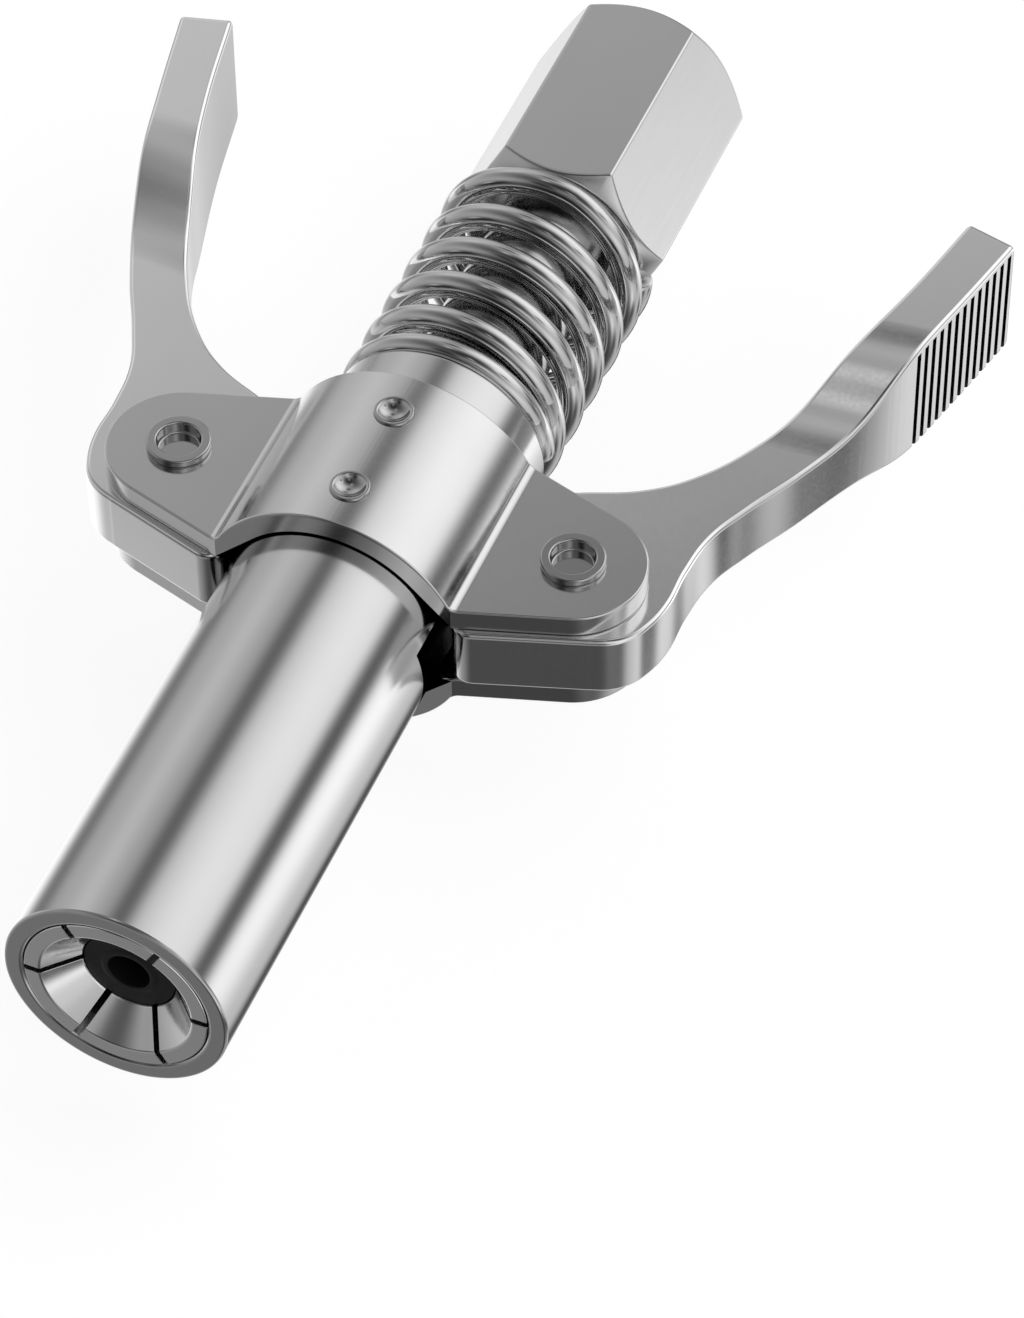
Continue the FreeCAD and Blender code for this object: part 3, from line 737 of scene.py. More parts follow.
@dataclass
class Fasteners:
    """The two tubular pivot rivets and the four dished bracket pins."""

    pivot_x: float = 14.8
    pivot_station: float = 42.875
    shank: float = 1.8
    head: float = 2.3
    hollow: float = 1.55
    hollow_depth: float = 1.0
    plate_high: float = 4.37
    head_height: float = 0.62
    pin_stations: tuple[float, float] = (39.075, 46.675)
    pin_radius: float = 0.95
    pin_head: float = 1.4
    pin_floor: float = 6.14
    pin_top: float = 9.95
    pin_under: float = 9.24
    pin_lip: float = 0.24
    pin_dish: float = 0.55

    def upright(self, profile: list[Corner], x: float, station: float, name: str,
                edge: float) -> bpy.types.Object:
        """Turn a profile about a line along Z.

        Args:
            profile: Corners as (radius, z).
            x: The line's place across the coupler.
            station: The line's place along it.
            name: The object's name.
            edge: How far its edges are rounded.

        Returns:
            The turned object.
        """
        mesh = closed_loop(profile)
        bmesh.ops.rotate(mesh, verts=mesh.verts[:], cent=(0, 0, 0),
                         matrix=Matrix.Rotation(math.pi / 2, 3, "X"))
        bmesh.ops.spin(mesh, geom=mesh.verts[:] + mesh.edges[:], cent=(0, 0, 0), axis=(0, 0, 1),
                       dvec=(0, 0, 0), angle=FULL_TURN, steps=72, use_merge=True)
        bmesh.ops.remove_doubles(mesh, verts=mesh.verts[:], dist=1e-4)
        bmesh.ops.recalc_face_normals(mesh, faces=mesh.faces[:])
        ease_edges(mesh, edge)
        bmesh.ops.translate(mesh, verts=mesh.verts[:], vec=(x, station, 0))
        return to_object(mesh, name)

    def build(self) -> None:
        """Make both rivets and all four pins."""
        top = self.plate_high + self.head_height
        floor = top - self.hollow_depth
        upper = [(self.shank, self.plate_high), (self.head, self.plate_high), (self.head, top),
                 (self.hollow, top), (self.hollow, floor), (0, floor)]
        lower = [(radius, -z) for radius, z in reversed(upper)]
        for side, word in ((-1, "left"), (1, "right")):
            piece = self.upright(lower + upper, side * self.pivot_x, self.pivot_station,
                                 "pivot_rivet_" + word, 0.16)
            SHOP.finish(piece, ["rivet_" + word], NICKEL_RIVET, "plated_rivet", "sleeve",
                        Shading.TRUE, Vector((side * self.pivot_x, self.pivot_station, 0)))
        self.build_pins()

    def build_pins(self) -> None:
        """Make the four pins as one piece."""
        lip = self.pin_head - self.pin_lip
        ball = (lip ** 2 + self.pin_dish ** 2) / (2 * self.pin_dish)
        steps = 12
        dish = []
        for step in range(steps + 1):
            radius = lip * (1 - step / steps)
            dish.append((radius, self.pin_top - self.pin_dish + ball - math.sqrt(ball ** 2 - radius ** 2)))
        profile = [(0, self.pin_floor), (self.pin_radius, self.pin_floor),
                   (self.pin_radius, self.pin_under), (self.pin_head, self.pin_under),
                   (self.pin_head, self.pin_top)] + dish
        every = bmesh.new()
        for station in self.pin_stations:
            for face in (1, -1):
                pin = self.upright(profile, 0, station, "pin", 0.08)
                if face < 0:
                    other = mirror_copy(pin, "pin_mirror", 2)
                    bpy.data.objects.remove(pin)
                    pin = other
                every.from_mesh(pin.data)
                bpy.data.objects.remove(pin)
        piece = to_object(every, "bracket_pin_set")
        SHOP.finish(piece, ["bracket_pins"], NICKEL_RIVET, "plated_rivet", "sleeve", Shading.BY_AREA)


@dataclass
class SqueezeLevers:
    """The two flared squeeze levers with grooved grips.

    Edge points are offsets from the pivot, outwards and towards the hex.
    """

    pivot_x: float = 14.8
    pivot_station: float = 42.875
    slim: float = 5.1
    grip: float = 10.1
    flare_start: float = 17.0
    flare_length: float = 12.7
    bore: float = 1.85
    edge: float = 0.35
    nose_x: float = 4.95
    nose_station: float = 44.175
    nose_radius: float = 1.4
    groove_count: int = 13
    groove_pitch: float = 1.0
    groove_width: float = 0.5
    groove_depth: float = 0.4
    groove_margin: float = 0.55
    groove_setback: float = 0.85
    tip_round: float = 0.6
    outer_edge: tuple[Corner, ...] = (
        (3.0, -4.97), (4.5, -4.35), (5.6, -3.4), (6.35, -2.0), (6.9, 0.3), (6.95, 3.8),
        (7.4, 7.3), (8.75, 10.6), (11.1, 15.3), (13.8, 22.0), (16.2, 31.4), (18.15, 40.0))
    inner_edge: tuple[Corner, ...] = (
        (14.3, 41.0), (12.35, 32.1), (10.0, 24.3), (7.1, 16.9), (4.2, 12.4), (1.35, 9.9),
        (-2.6, 8.05))
    tip_crown: Corner = (16.3, 41.0)
    shoulder: Corner = (-4.0, 7.4)
    heel: Corner = (-6.35, -7.97)
    heel_radius: float = 1.4
    waist: tuple[Corner, ...] = ((-5.8, 3.0), (-6.35, -2.0))

    def outline(self) -> list[Vector]:
        """The lever's outline seen from the front, without its nose."""
        heel_x, heel_y = self.heel
        rise = math.atan2(self.outer_edge[0][1] - heel_y, self.outer_edge[0][0] - heel_x)
        lean = (math.pi / 2 + rise) / 2
        reach = self.heel_radius / math.sin(lean - rise)
        middle = (heel_x + reach * math.cos(lean), heel_y + reach * math.sin(lean))
        corner_turn = [math.pi + (rise + math.pi / 2) * step / 8 for step in range(9)]
        heel_arc = [(middle[0] + self.heel_radius * math.cos(a),
                     middle[1] + self.heel_radius * math.sin(a), True) for a in corner_turn]
        spots = [(self.outer_edge[0][0], self.outer_edge[0][1], True)]
        spots += [(x, y, False) for x, y in self.outer_edge[1:-1]]
        spots.append((*self.outer_edge[-1], True))
        spots.append((*self.inner_edge[0], True))
        spots += [(x, y, False) for x, y in self.inner_edge[1:-1]]
        spots.append((*self.inner_edge[-1], True))
        spots += [(*corner, True) for corner in (self.shoulder, *self.waist)] + heel_arc
        placed = [(self.pivot_x + x, self.pivot_station + y, corner) for x, y, corner in spots]
        return smooth_path(placed, "lever_line")

    def half_thickness(self, station: float) -> float:
        """Half the lever's thickness at a station.

        Args:
            station: Distance from the nozzle face.

        Returns:
            Half the thickness there.
        """
        share = (station - self.pivot_station - self.flare_start) / self.flare_length
        share = min(1.0, max(0.0, share))
        low, high = 0.0, 1.0
        for _ in range(30):
            middle = (low + high) / 2
            along = 1.5 * middle * (1 - middle) ** 2 + 1.5 * middle ** 2 * (1 - middle) + middle ** 3
            low, high = (middle, high) if along < share else (low, middle)
        rise = 3 * low ** 2 * (1 - low) + low ** 3
        return (self.slim + (self.grip - self.slim) * rise) / 2

    def slab(self) -> bmesh.types.BMesh:
        """The outline as a solid whose thickness flares towards the grip."""
        mesh = bmesh.new()
        flat = mesh.faces.new([mesh.verts.new(spot) for spot in self.outline()])
        grown = bmesh.ops.extrude_face_region(mesh, geom=[flat])
        moved = [item for item in grown["geom"] if isinstance(item, bmesh.types.BMVert)]
        bmesh.ops.translate(mesh, vec=(0, 0, -1), verts=moved)
        cuts = 28
        for step in range(cuts + 1):
            station = self.pivot_station + self.flare_start + self.flare_length * step / cuts
            everything = mesh.verts[:] + mesh.edges[:] + mesh.faces[:]
            bmesh.ops.bisect_plane(mesh, geom=everything, dist=1e-4, plane_co=(0, station, 0),
                                   plane_no=(0, 1, 0))
        for vertex in mesh.verts:
            half = self.half_thickness(vertex.co.y)
            vertex.co.z = half if vertex.co.z > -0.5 else -half
        bmesh.ops.recalc_face_normals(mesh, faces=mesh.faces[:])
        bmesh.ops.remove_doubles(mesh, verts=mesh.verts[:], dist=0.03)
        return mesh

    def grooves(self) -> bmesh.types.BMesh:
        """Cutters for the grooves across the outer face of the grip."""
        tip = Vector((*self.outer_edge[-1], 0))
        back = Vector((*self.outer_edge[-2], 0))
        along = (back - tip).normalized()
        lean = math.atan2(along.x, -along.y)
        every = bmesh.new()
        for index in range(self.groove_count):
            place = tip + along * (self.groove_setback + index * self.groove_pitch)
            turn = Matrix.Translation((self.pivot_x + place.x, self.pivot_station + place.y, 0))
            turn = turn @ Matrix.Rotation(lean, 4, "Z")
            low = Vector((-self.groove_depth, -self.groove_width / 2, -self.grip))
            high = Vector((self.groove_depth, self.groove_width / 2, self.grip / 2 - self.groove_margin))
            size = Matrix.Diagonal((*(high - low), 1))
            bmesh.ops.create_cube(every, size=1, matrix=turn @ Matrix.Translation((low + high) / 2) @ size)
        return every

    def round_tip(self, mesh: bmesh.types.BMesh) -> None:
        """Round the front and rear edges of the grip's end more than the rest.

        Args:
            mesh: The lever before its edges are eased.
        """
        corners = [Vector((self.pivot_x + x, self.pivot_station + y))
                   for x, y in (self.outer_edge[-1], self.inner_edge[0])]

        def at_tip(vertex: bmesh.types.BMVert) -> bool:
            return min((vertex.co.xy - corner).length for corner in corners) < 0.05

        ends = [edge for edge in mesh.edges if all(at_tip(vertex) for vertex in edge.verts)
                and abs(edge.verts[0].co.z - edge.verts[1].co.z) < 1e-4]
        LOG.info("grip tip: %d edges rounded", len(ends))
        bmesh.ops.bevel(mesh, geom=ends, offset=self.tip_round, offset_type="OFFSET", affect="EDGES",
                        segments=6, profile=0.5, material=-1, clamp_overlap=False)

    def recessed_faces(self, piece: bpy.types.Object) -> list[int]:
        """The numbers of the faces inside the grip's grooves.

        Args:
            piece: The right lever with its grooves cut.

        Returns:
            The numbers.
        """
        tip = Vector((self.pivot_x + self.outer_edge[-1][0], self.pivot_station + self.outer_edge[-1][1], 0))
        back = Vector((*self.outer_edge[-2], 0)) - Vector((*self.outer_edge[-1], 0))
        along = back.normalized()
        outward = Vector((-along.y, along.x, 0))
        found = []
        for face in piece.data.polygons:
            depth = (tip - face.center).dot(outward)
            place = (face.center - tip).dot(along) / self.groove_pitch
            floor = face.normal.dot(outward) > 0.9 and depth > 0.6 * self.groove_depth
            wall = abs(face.normal.dot(along)) > 0.9 and depth > 0.0
            if (floor or wall) and depth < 2 * self.groove_depth and 0.4 < place < self.groove_count + 1:
                found.append(face.index)
        return found

    def build(self) -> None:
        """Shape the right lever, then mirror it for the left."""
        mesh = self.slab()
        self.round_tip(mesh)
        ease_edges(mesh, self.edge, segments=4, angle=math.radians(50))
        piece = to_object(mesh, "squeeze_lever_right")
        half = self.slim / 2
        nose = post(self.nose_x, self.nose_station, self.nose_radius, -half, half)
        carve(piece, to_object(nose, "nose_tool"), Cut.JOIN)
        arm = bar(Vector((self.nose_x, self.nose_station - 1, -half)),
                  Vector((9.5, self.nose_station + 1, half)))
        carve(piece, to_object(arm, "arm_tool"), Cut.JOIN)
        hole = post(self.pivot_x, self.pivot_station, self.bore, -self.grip, self.grip)
        carve(piece, to_object(hole, "pivot_tool"), Cut.AWAY)
        carve(piece, to_object(self.grooves(), "groove_tool"), Cut.AWAY)
        recessed = self.recessed_faces(piece)
        left = mirror_copy(piece, "squeeze_lever_left", 0)
        SHOP.finish(piece, ["lever_right"], NICKEL_CAST, "plated_lever", "lever_right_body",
                    Shading.BY_AREA)
        SHOP.finish(left, ["lever_left"], NICKEL_CAST, "plated_lever", "lever_left_body",
                    Shading.BY_AREA)
        # The faces inside the grooves take a dark colour, which is painted shade, and a duller roughness.
        for lever in (piece, left):
            SHOP.dress_faces(lever, GROOVE_PAINTED_SHADE, recessed)
        LOG.info("grip grooves: %d faces darkened", len(recessed))


@dataclass
class Spring:
    """A left-hand wire spring with closed ends.

    Attributes:
        name: The object's name.
        node: The CAD node that it replaces.
        start: Station of its near end.
        end: Station of its far end.
        wire: Wire diameter.
        mean_radius: Radius of the wire's middle line.
        turns: How many turns it has.
        joint: The joint whose travel would squash it; not used.
        stroke: How much shorter the joint's travel would make it; not used.
        fixed: Station that would keep its place; not used.
        steps: Facets along one turn and round the wire.
        near_end: Turns from the near end, and the wire diameters climbed by then.
        far_end: The same from the far end, the outermost turn last.
    """

    name: str
    node: str
    start: float
    end: float
    wire: float
    mean_radius: float
    turns: float
    joint: str
    stroke: float
    fixed: float
    steps: tuple[int, int]
    near_end: tuple[Corner, ...] = ((0.5, 0.1),)
    far_end: tuple[Corner, ...] = ((1.0, 1.05), (0.8, 0.35))

    def height(self, turn: float) -> float:
        """How far the wire has climbed after a number of turns.

        Args:
            turn: Turns from the near end.

        Returns:
            The climb along the axis.
        """
        full = self.end - self.start - self.wire
        marks = [(0, 0)] + [(at, share * self.wire) for at, share in self.near_end]
        marks += [(self.turns - at, full - share * self.wire) for at, share in self.far_end]
        marks.append((self.turns, full))
        for (low_turn, low), (high_turn, high) in zip(marks, marks[1:]):
            if turn <= high_turn:
                return low + (high - low) * (turn - low_turn) / (high_turn - low_turn)
        return full

    def build(self) -> bpy.types.Object:
        """Sweep the wire's round section up the helix, a small step at a time."""
        turn_steps, wire_steps = self.steps
        mesh = bmesh.new()
        first = Matrix.Translation((self.mean_radius, self.start + self.wire / 2, 0))
        loop = bmesh.ops.create_circle(mesh, cap_ends=False, segments=wire_steps,
                                       radius=self.wire / 2, matrix=first)["verts"]
        bmesh.ops.rotate(mesh, verts=loop, cent=(0, 0, 0),
                         matrix=Matrix.Rotation(FULL_TURN * self.turns, 3, "Y"))
        edges = mesh.edges[:]
        mesh.faces.new(loop)
        for step in range(round(self.turns * turn_steps)):
            climb = self.height((step + 1) / turn_steps) - self.height(step / turn_steps)
            swept = bmesh.ops.spin(mesh, geom=edges, cent=(0, 0, 0), axis=(0, -1, 0),
                                   dvec=(0, climb, 0), angle=FULL_TURN / turn_steps, steps=1,
                                   use_merge=False)["geom_last"]
            edges = [item for item in swept if isinstance(item, bmesh.types.BMEdge)]
        bmesh.ops.contextual_create(mesh, geom=edges)
        bmesh.ops.recalc_face_normals(mesh, faces=mesh.faces[:])
        ease_edges(mesh, 0.075 * self.wire, segments=2, angle=math.radians(50))
        piece = to_object(mesh, self.name)
        SHOP.finish(piece, [self.node], SPRING_WIRE, "spring_steel", "core", Shading.PLAIN)
        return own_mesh(piece)


SPRINGS = (
    Spring("return_spring", "main_spring", 54.42, 75.28, 2.0, 7.3, 6.0, "sleeve_slide", 2.6, 75.28,
           (72, 24)),
    Spring("seal_push_spring", "seal_spring", 23.05, 33.0, 0.6, 2.8, 6.5, "seal_slide", 3.3, 33.0,
           (48, 12)),
    Spring("ball_return_spring", "check_spring", 72.46, 79.86, 0.4, 1.7, 4.5, "ball_lift", 1.0, 72.46,
           (48, 12)),
)


@dataclass
class CoreAndHex:
    """The core tube and the hex adapter with its inlet thread."""

    core_profile: tuple[Corner, ...] = (
        (4.22, 16.4), (5.2, 16.4), (5.45, 16.65), (5.45, 22.4), (5.15, 22.7), (5.15, 36.425),
        (5.45, 36.725), (5.45, 42.725), (3.2, 42.725), (3.2, 45.875), (4.5, 45.875), (4.5, 79.7),
        (2.1, 79.7), (2.1, 72.4), (1.5, 72.4), (1.5, 33.0), (3.3, 33.0), (3.3, 22.8), (4.22, 22.8))
    flats: float = 14.3
    length: float = 19.1
    face_radius: float = 6.9
    socket_radius: float = 4.52
    socket_depth: float = 5.2
    chamber: float = 2.5
    chamber_end: float = 81.49
    passage: float = 1.3
    passage_start: float = 82.69
    inlet: float = 4.3
    inlet_depth: float = 8.8
    countersink: float = 0.8
    thread_pitch: float = 0.907
    thread_height: float = 0.5
    edge: float = 0.15

    def build_core(self) -> None:
        """Turn the core tube."""
        mesh = turned(list(self.core_profile), steps=96)
        ease_edges(mesh, 0.08, segments=2)
        piece = to_object(mesh, "core_tube_turned")
        SHOP.finish(piece, ["core_tube"], GROUND_SHAFT, "core_steel", "core", Shading.TRUE)

    def build_hex(self) -> None:
        """Chamfer the hexagon bar, bore it and cut the inlet."""
        corner = self.flats / math.sqrt(3)
        far = HEX_NEAR + self.length
        mesh = bmesh.new()
        place = (Matrix.Translation((0, HEX_NEAR + self.length / 2, 0))
                 @ Matrix.Rotation(math.pi / 2, 4, "X") @ Matrix.Rotation(math.pi / 6, 4, "Z"))
        bmesh.ops.create_cone(mesh, cap_ends=True, segments=6, radius1=corner, radius2=corner,
                              depth=self.length, matrix=place)
        piece = to_object(mesh, "hex_end")
        half = self.length / 2
        blank = turned([(0, HEX_NEAR), (self.face_radius, HEX_NEAR),
                        (self.face_radius + half, HEX_NEAR + half), (self.face_radius, far), (0, far)],
                       steps=180)
        carve(piece, to_object(blank, "chamfer_tool"), Cut.COMMON)
        mesh = reworked(piece)
        ease_edges(mesh, self.edge, angle=math.radians(25))
        put_back(mesh, piece)
        floor = far - self.countersink - self.inlet_depth
        drill = (self.inlet - self.passage) / math.tan(math.radians(59))
        bore = turned([
            (0, HEX_NEAR - 1), (self.socket_radius, HEX_NEAR - 1),
            (self.socket_radius, HEX_NEAR + self.socket_depth), (self.chamber, HEX_NEAR + self.socket_depth),
            (self.chamber, self.chamber_end), (self.passage, self.passage_start),
            (self.passage, floor - drill), (self.inlet, floor), (self.inlet, far - self.countersink),
            (self.inlet + self.countersink + 0.4, far + 0.4), (0, far + 0.4)], steps=96)
        carve(piece, to_object(bore, "bore_tool"), Cut.AWAY)
        SHOP.finish(piece, ["hex_adapter"], NICKEL_BAR, "plated_hex", "core", Shading.BY_AREA)

    def build_thread(self) -> None:
        """Wind the inlet thread's crests inside the bore."""
        far = HEX_NEAR + self.length
        turns = 9
        steps = 48
        start = far - self.countersink - 0.2 - turns * self.thread_pitch
        base = self.inlet + 0.08
        mesh = closed_loop([(base, start), (base - self.thread_height, start + self.thread_pitch * 0.42),
                            (base - self.thread_height, start + self.thread_pitch * 0.5),
                            (base, start + self.thread_pitch * 0.92)])
        bmesh.ops.contextual_create(mesh, geom=mesh.edges[:])
        bmesh.ops.spin(mesh, geom=mesh.edges[:], cent=(0, 0, 0), axis=(0, 1, 0),
                       dvec=(0, self.thread_pitch / steps, 0), angle=FULL_TURN * turns,
                       steps=steps * turns, use_merge=False)
        bmesh.ops.holes_fill(mesh, edges=[edge for edge in mesh.edges if edge.is_boundary], sides=8)
        bmesh.ops.recalc_face_normals(mesh, faces=mesh.faces[:])
        piece = to_object(mesh, "inlet_thread")
        piece.data.transform(Matrix.Translation((0, NOZZLE_Y, 0)) @ Matrix.Scale(MM, 4))
        piece.data.shade_smooth()
        piece.data.set_sharp_from_angle(angle=SHARP_ANGLE)
        SHOP.dress(piece, NICKEL_BAR)
        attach(piece, "core")
        LOG.info("inlet_thread: %d turns", turns)

    def build(self) -> None:
        """Make the core tube, the hex and the thread."""
        self.build_core()
        self.build_hex()
        self.build_thread()


@dataclass
class Nozzle:
    """The six jaws with their funnel, and the rubber seal behind them."""

    jaw_count: int = 6
    slot: float = 0.45
    jaw_edge: float = 0.13
    slot_edge: float = 0.04
    jaw_profile: tuple[Corner, ...] = (
        (5.44, 0.05), (6.5884, 0.05), (5.44, 5.0), (5.05, 5.78), (5.05, 13.91), (5.38, 14.3),
        (5.38, 16.3), (3.55, 16.3), (3.55, 14.25), (4.35, 14.25), (4.35, 12.35), (4.0, 12.0),
        (4.0, 11.3), (4.35, 11.3), (4.35, 10.5), (4.0, 10.5), (4.0, 7.1), (3.85, 6.95), (3.85, 3.39),
        (3.31, 2.85), (3.31, 2.25))
    seal_profile: tuple[Corner, ...] = (
        (1.5, 2.15), (1.8, 2.15), (2.1, 2.3), (3.26, 2.3), (3.26, 2.9), (3.6, 3.24), (3.6, 6.5),
        (1.5, 6.5))

    def jaw(self, index: int) -> None:
        """Make one jaw.

        Args:
            index: Its place round the nozzle, from 0.
        """
        half_sector = math.pi / self.jaw_count
        middle = (index + 0.5) * 2 * half_sector
        mesh = turned(list(self.jaw_profile), steps=24, angle=2 * half_sector)
        ease_edges(mesh, self.jaw_edge, angle=math.radians(28))
        for side, plane_angle in ((-1, 0.0), (1, -2 * half_sector)):
            inward = side * Vector((-math.sin(plane_angle), 0, math.cos(plane_angle)))
            everything = mesh.verts[:] + mesh.edges[:] + mesh.faces[:]
            cut = bmesh.ops.bisect_plane(mesh, geom=everything, dist=1e-5,
                                         plane_co=inward * (self.slot / 2), plane_no=-inward,
                                         clear_outer=True)
            edges = [item for item in cut["geom_cut"] if isinstance(item, bmesh.types.BMEdge)]
            bmesh.ops.contextual_create(mesh, geom=edges)
        bmesh.ops.rotate(mesh, verts=mesh.verts[:], cent=(0, 0, 0),
                         matrix=Matrix.Rotation(-(middle + half_sector), 3, "Y"))
        bmesh.ops.recalc_face_normals(mesh, faces=mesh.faces[:])
        ease_edges(mesh, self.slot_edge, segments=2, angle=math.radians(60))
        number = index + 1
        piece = to_object(mesh, f"gripping_jaw_{number}")
        SHOP.finish(piece, [f"jaw_{number}"], JAW_STEEL, "hardened_jaw", f"jaw_{number}_body",
                    Shading.TRUE)

    def build(self) -> None:
        """Make the jaws and the seal."""
        for index in range(self.jaw_count):
            self.jaw(index)
        mesh = turned(list(self.seal_profile), steps=96)
        ease_edges(mesh, 0.06, segments=3, angle=math.radians(20))
        piece = to_object(mesh, "nozzle_seal_moulded")
        SHOP.finish(piece, ["nozzle_seal"], NITRILE, "black_rubber", "seal", Shading.BY_AREA)


@dataclass
class InnerParts:
    """The pieces inside, which keep their CAD shapes."""

    finishes: dict[str, MetalFinish | RubberFinish] = field(default_factory=lambda: {
        "jaw_carrier": TURNED_STEEL, "carrier_washer": SOFT_COPPER, "socket_washer": SOFT_COPPER,
        "jaw_spreader_ring": SPRING_WIRE, "backing_ring": TURNED_STEEL, "seal_follower": TURNED_STEEL,
        "follower_o_ring": NITRILE, "check_ball": BEARING_STEEL})

    def build(self) -> None:
        """Dress the CAD nodes that nothing replaces."""
        for node, finish in self.finishes.items():
            SHOP.dress(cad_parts[node], finish)
            LOG.info("%s: CAD shape, %s", node, finish.name)


@dataclass(frozen=True)
class Glow:
    """One soft patch of the studio's surroundings, brighter or darker than the rest.

    Attributes:
        azimuth: Degrees from +Y towards +X.
        elevation: Degrees above the horizon.
        width: Degrees to where the patch has faded to about a third.
        stops: How many stops brighter it is at its middle, negative for a dark patch.
    """

    azimuth: float
    elevation: float
    width: float
    stops: float

    def direction(self) -> Vector:
        """The patch's direction."""
        turn, rise = math.radians(self.azimuth), math.radians(self.elevation)
        return Vector((math.sin(turn) * math.cos(rise), math.cos(turn) * math.cos(rise), math.sin(rise)))


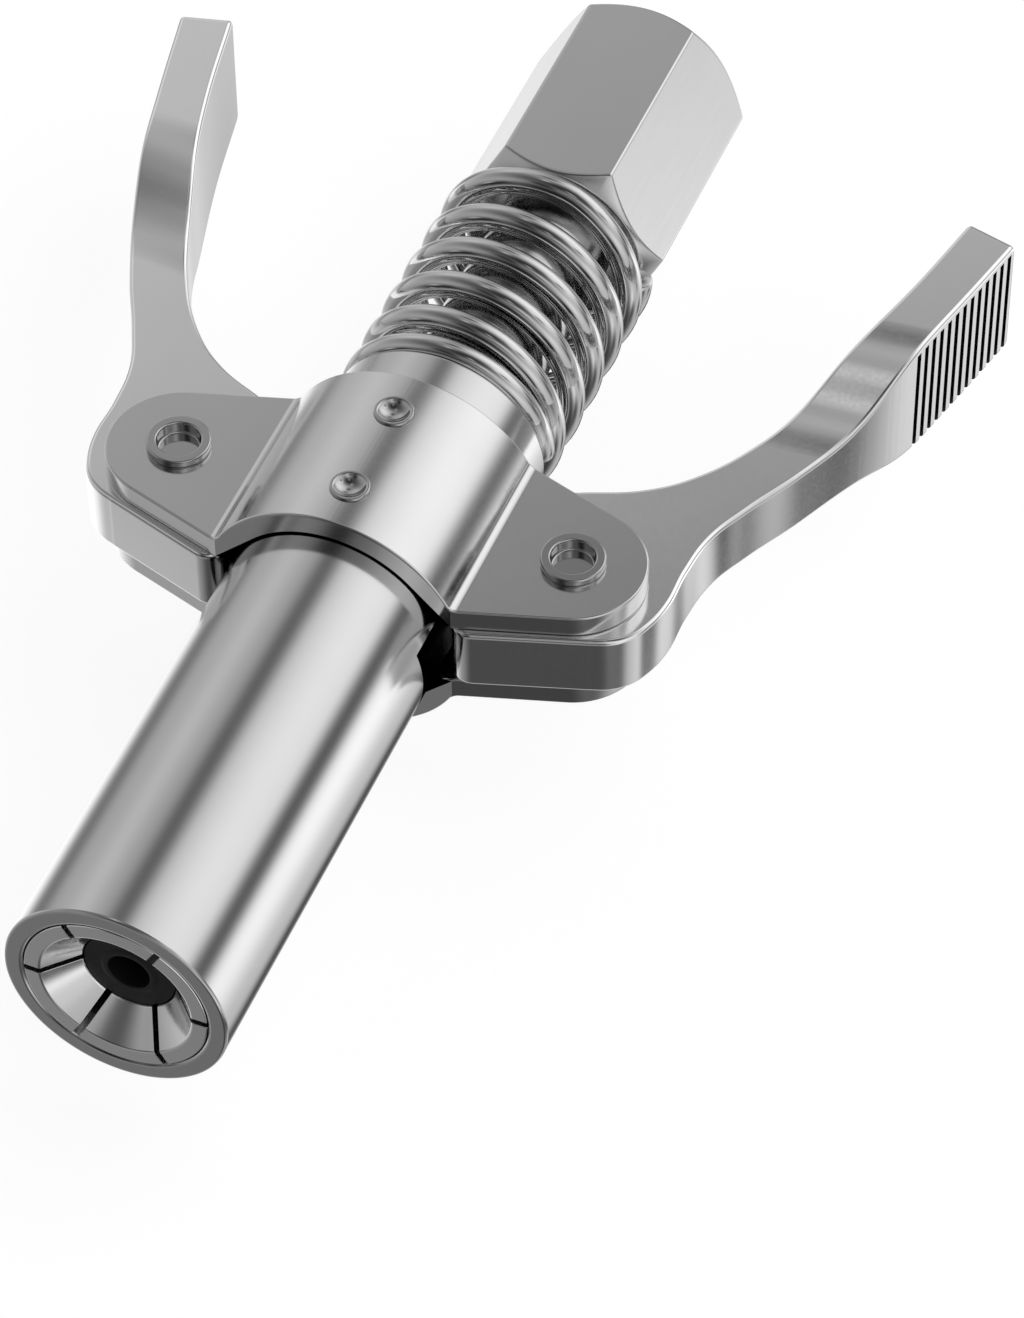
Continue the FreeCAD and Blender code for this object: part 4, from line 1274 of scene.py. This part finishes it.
@dataclass
class Studio:
    """The floor, the light and the camera."""

    level: float = 0.715
    glows: tuple[Glow, ...] = (
        Glow(-15, 53, 8, -2.1),
        Glow(54, 7, 8, -3.3),
        Glow(-55, -10, 12, -1.9),
        Glow(8, -55, 9, -3.1),
        Glow(-117, -33, 42, -1.9),
        Glow(-63, 42, 30, -1.6),
        Glow(30, 33, 34, 0.9),
        Glow(-136, 3, 11, -4.3),
        Glow(-80, -34, 30, 3.5),
        Glow(37, -9, 20, 3.5),
        Glow(33, -5, 16, -4.7),
        Glow(63, -45, 7, -2.6),
        Glow(161, -48, 25, -3.2),
        Glow(-120, 61, 21, -1.7),
        Glow(164, 37, 9, 3.4),
        Glow(-131, 6, 6, 3.5),
        Glow(123, 23, 16, 0.6),
        Glow(-80, -29, 20, -2.5),
        Glow(86, -19, 7, -1.5),
        Glow(76, 45, 7, -4.7),
        Glow(-53, 35, 18, 1.4),
        Glow(142, 71, 23, -5.0),
        Glow(77, 5, 12, -2.2),
        Glow(125, -40, 12, -4.1),
        Glow(162, 40, 10, -4.0),
        Glow(-169, 47, 5, -1.1),
        Glow(-172, 17, 22, -5.0),
        Glow(147, 71, 5, 3.5),
        Glow(-77, 78, 6, 1.8),
        Glow(-5, 0, 15, -2.1),
        Glow(155, 3, 10, -4.5),
        Glow(130, -36, 14, 3.5),
        Glow(-37, -22, 6, -0.9),
        Glow(148, 56, 16, 3.1),
        Glow(-8, 29, 9, -1.4),
        Glow(76, 46, 9, 3.3),
        Glow(-157, 49, 9, -2.5),
    )
    camera_place: tuple[float, float, float] = (0.111608, -0.291647, 0.288303)
    camera_right: tuple[float, float, float] = (0.92487, 0.38023, -0.00603)
    camera_up: tuple[float, float, float] = (-0.28191, 0.69618, 0.66019)
    camera_back: tuple[float, float, float] = (0.25522, -0.60890, 0.75107)
    focal_pixels: float = 5630.8
    centre_pixels: tuple[float, float] = (517.73, 673.13)
    picture: tuple[int, int] = (1024, 1318)
    floor_z: float = -0.01

    def surroundings(self) -> None:
        """Light the scene by soft patches, and show plain white to the camera."""
        world = bpy.data.worlds.new("studio")
        world.use_nodes = True
        tree = world.node_tree
        tree.nodes.clear()
        ray = add_node(tree, "ShaderNodeTexCoord").outputs["Generated"]
        total = None
        for glow in self.glows:
            toward = add_node(tree, "ShaderNodeVectorMath", {"operation": "DOT_PRODUCT"}, {
                0: ray, 1: glow.direction()}).outputs["Value"]
            tightness = 2 / math.radians(glow.width) ** 2
            fall = add_node(tree, "ShaderNodeMath", {"operation": "MULTIPLY_ADD"}, {
                0: toward, 1: tightness, 2: -tightness}).outputs[0]
            patch = add_node(tree, "ShaderNodeMath", {"operation": "EXPONENT"}, {0: fall}).outputs[0]
            total = add_node(tree, "ShaderNodeMath", {"operation": "MULTIPLY_ADD"}, {
                0: patch, 1: glow.stops, 2: 0.0 if total is None else total}).outputs[0]
        bright = add_node(tree, "ShaderNodeMath", {"operation": "POWER"}, {0: 2.0, 1: total}).outputs[0]
        level = add_node(tree, "ShaderNodeMath", {"operation": "MULTIPLY"}, {
            0: bright, 1: self.level}).outputs[0]
        studio = add_node(tree, "ShaderNodeBackground", inputs={
            "Color": (1, 1, 1, 1), "Strength": level})
        plain = add_node(tree, "ShaderNodeBackground", inputs={
            "Color": (1, 1, 1, 1), "Strength": 1.0})
        seen = add_node(tree, "ShaderNodeLightPath").outputs["Is Camera Ray"]
        both = add_node(tree, "ShaderNodeMixShader", inputs={
            0: seen, 1: studio.outputs[0], 2: plain.outputs[0]})
        add_node(tree, "ShaderNodeOutputWorld", inputs={"Surface": both.outputs[0]})
        bpy.context.scene.world = world

    def floor(self) -> None:
        """Lay a plain pale floor that keeps a soft shadow."""
        mesh = bmesh.new()
        bmesh.ops.create_grid(mesh, x_segments=1, y_segments=1, size=3.0,
                              matrix=Matrix.Translation((0, 0, self.floor_z)))
        floor = to_object(mesh, "floor")
        made, tree = new_tree("pale_floor")
        paint = add_node(tree, "ShaderNodeBsdfDiffuse", inputs={"Color": (0.3, 0.3, 0.3, 1)})
        seen = add_node(tree, "ShaderNodeLightPath").outputs["Is Camera Ray"]
        light = add_node(tree, "ShaderNodeEmission", inputs={"Strength": seen})
        light.inputs["Color"].default_value = (0.87, 0.87, 0.87, 1)
        both = add_node(tree, "ShaderNodeAddShader", inputs={0: paint.outputs[0], 1: light.outputs[0]})
        add_node(tree, "ShaderNodeOutputMaterial", inputs={"Surface": both.outputs[0]})
        floor.data.materials.append(made)
        floor.visible_glossy = False

    def camera(self) -> None:
        """Set the camera at the photograph's viewing angle."""
        data = bpy.data.cameras.new("camera")
        wide, high = self.picture
        data.sensor_fit = "HORIZONTAL"
        data.sensor_width = 36.0
        data.lens = self.focal_pixels / wide * data.sensor_width
        data.shift_x = (wide / 2 - self.centre_pixels[0]) / wide
        data.shift_y = (self.centre_pixels[1] - high / 2) / wide
        data.clip_start = 0.01
        data.clip_end = 20
        made = bpy.data.objects.new("camera", data)
        bpy.context.scene.collection.objects.link(made)
        turn = Matrix((self.camera_right, self.camera_up, self.camera_back)).transposed()
        made.matrix_world = Matrix.Translation(self.camera_place) @ turn.to_4x4()
        bpy.context.scene.camera = made

    def build(self) -> None:
        """Set up light, floor, camera and colour view."""
        self.surroundings()
        self.floor()
        self.camera()
        bpy.context.scene.view_settings.view_transform = "Standard"


def main() -> None:
    """Build every sub-assembly in order."""
    logging.basicConfig(level=logging.INFO, format="%(message)s")
    Studio().build()
    OuterSleeve().build()
    Bracket().build()
    Fasteners().build()
    SqueezeLevers().build()
    for spring in SPRINGS:
        spring.build()
    CoreAndHex().build()
    Nozzle().build()
    InnerParts().build()


if __name__ == "__main__":
    main()
